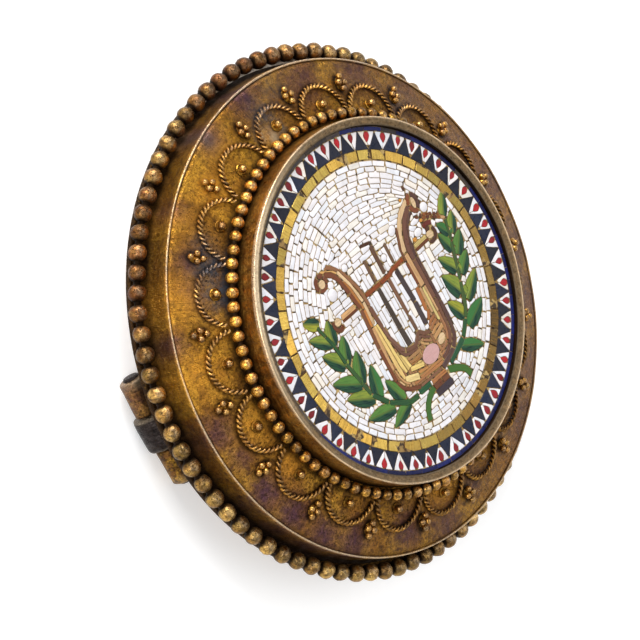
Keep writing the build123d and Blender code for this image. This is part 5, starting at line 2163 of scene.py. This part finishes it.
def raise_strips(group, slot, seed, tip=usual_tip, chip=chip_width):
    """All strips of a group as closed pieces of glass."""
    chance = random.Random(seed)
    bm = bmesh.new()
    glass_colour = bm.verts.layers.float_color.new("glass_colour")
    edge = bm.verts.layers.float.new("edge")
    grain = bm.loops.layers.uv.new("grain")
    for number, strip in enumerate(laid[group]):
        middle_x, middle_y = (sum(places) / len(places) for places in zip(*strip.outline))
        lean_x = chance.uniform(-tip, tip)
        lean_y = chance.uniform(-tip, tip)
        lift = chance.uniform(-0.012, 0.004)
        centre, light_side = leaf_grain.get((group, number), ((middle_x, middle_y), 0))
        shift = 0.0 if light_side else chance.uniform(0, 50)
        ahead_x, ahead_y = strip.direction
        colour = srgb(*strip.colour)
        # one draw is passed over, so that the later strips lie as they did
        chance.random()  # one draw is made and not used; the later strips' draws follow it
        verts = []
        for x, y in strip.outline:
            level = mosaic_level - chip_drop + lift + (x - middle_x) * lean_x + (y - middle_y) * lean_y
            vert = bm.verts.new((x, y, min(level, mosaic_level)))
            vert[glass_colour] = colour
            vert[edge] = 1.0
            verts.append(vert)
        for loop in bm.faces.new(verts).loops:
            dx = loop.vert.co.x - centre[0]
            dy = loop.vert.co.y - centre[1]
            across = -dx * ahead_y + dy * ahead_x
            loop[grain].uv = (dx * ahead_x + dy * ahead_y + shift, across * (light_side or 1) + shift)
    bm.normal_update()
    bmesh.ops.reverse_faces(bm, faces=[face for face in bm.faces if face.normal.z < 0])
    bmesh.ops.solidify(bm, geom=list(bm.faces), thickness=glass_depth - 0.08)
    bmesh.ops.recalc_face_normals(bm, faces=bm.faces)
    tops = [face for face in bm.faces if face.normal.z > 0.9 and face.calc_center_median().z > top_level]
    bmesh.ops.inset_individual(bm, faces=tops, thickness=chip, depth=chip_drop, use_even_offset=False)
    for face in tops:
        for vert in face.verts:
            vert[edge] = 0.0
    weld_turned_edges(bm, edge)
    finish_piece(bm, group + "_glass", glasses[slot], [group], sharp_deg=25)


glass_groups = {
    "white_field": "white", "white_triangles": "white", "navy_triangles": "navy", "red_diamonds": "red",
    "blue_ring": "blue", "gold_ring": "gold", "lyre_body": "tan", "lyre_crossbar": "brown",
    "lyre_strings": "brown", "lyre_base": "brown", "lyre_stone": "pink", "laurel_left": "green",
    "laurel_right": "green",
}
special_cuts = {"white_field": {"chip": 0.04}, "gold_ring": {"tip": 0.14}}
for seed, (group, tray) in enumerate(glass_groups.items(), start=61):
    raise_strips(group, tray + "_glass", seed, **special_cuts.get(group, {}))


# %% [markdown]
# ## Floor, light and camera
#
# The brooch lies face up on a pale floor. Large soft lights stand where a photographer's windows
# would be. The camera looks at the brooch from the photograph's angle, rolled so that
# the brooch leans in the picture as it does there.

# %% Camera
camera_azimuth_deg = 157.76
camera_elevation_deg = 46.73
camera_roll_deg = 78.18
camera_distance = 221.16
camera_target = Vector((-2.17, 0.503, 4.03))
lens_mm = 179.98

azimuth = math.radians(camera_azimuth_deg)
elevation = math.radians(camera_elevation_deg)
towards_camera = Vector(
    (math.cos(elevation) * math.cos(azimuth), math.cos(elevation) * math.sin(azimuth), math.sin(elevation))
)
camera_data = bpy.data.cameras.new("camera")
camera_data.lens = lens_mm
camera_data.sensor_width = 36.0
camera_data.clip_start = 0.01
camera_data.clip_end = 10.0
camera = in_scene("camera", camera_data)
camera.location = (camera_target + towards_camera * camera_distance) * mm
camera.rotation_mode = "QUATERNION"
roll = Quaternion((0, 0, 1), math.radians(camera_roll_deg))
camera.rotation_quaternion = towards_camera.to_track_quat("Z", "Y") @ roll
scene.camera = camera
turned = camera.rotation_quaternion.to_matrix()
image_right = turned @ Vector((1, 0, 0))
image_up = turned @ Vector((0, 1, 0))
print("image right", [round(value, 3) for value in image_right],
      "up", [round(value, 3) for value in image_up])

# %% Floor
floor_half = 1.5
floor_mesh = bmesh.new()
bmesh.ops.create_grid(floor_mesh, x_segments=1, y_segments=1, size=floor_half)
mesh = as_mesh(floor_mesh, "floor")
pale_floor, recipe, shader = new_material(
    "pale_floor", Roughness=0.8, Emission_Strength=0.3, Base_Color=srgb(235, 235, 235),
    Emission_Color=srgb(255, 255, 255),
)
mesh.materials.append(pale_floor)
in_scene("floor", mesh)
print("floor:", 2 * floor_half, "m square")


# %% Lights
def soft_light(name, direction, distance, size, power):
    """A square soft light that looks at the brooch."""
    data = bpy.data.lights.new(name, "AREA")
    data.shape = "SQUARE"
    data.size = size
    data.energy = power
    lamp = in_scene(name, data)
    direction = direction.normalized()
    lamp.location = direction * distance
    lamp.rotation_mode = "QUATERNION"
    lamp.rotation_quaternion = direction.to_track_quat("Z", "Y")


soft_light("window_above", image_up * 0.9 + towards_camera * 0.5 - image_right * 0.15, 0.6, 0.4, 5.5)
soft_light("window_front", towards_camera * 0.9 - image_up * 0.15 - image_right * 0.25, 0.8, 0.4, 3.0)
soft_light("window_right", image_right * 0.8 + towards_camera * 0.5 + image_up * 0.1, 0.7, 0.6, 1.2)
soft_light("window_low", Vector((0.813, -0.329, 0.48)), 0.7, 0.25, 0.26)
world = bpy.data.worlds.new("studio")
world.use_nodes = True
world.node_tree.nodes["Background"].inputs["Color"].default_value = (1.0, 1.0, 1.0, 1.0)
world.node_tree.nodes["Background"].inputs["Strength"].default_value = 0.55
scene.world = world
scene.view_settings.view_transform = "Standard"
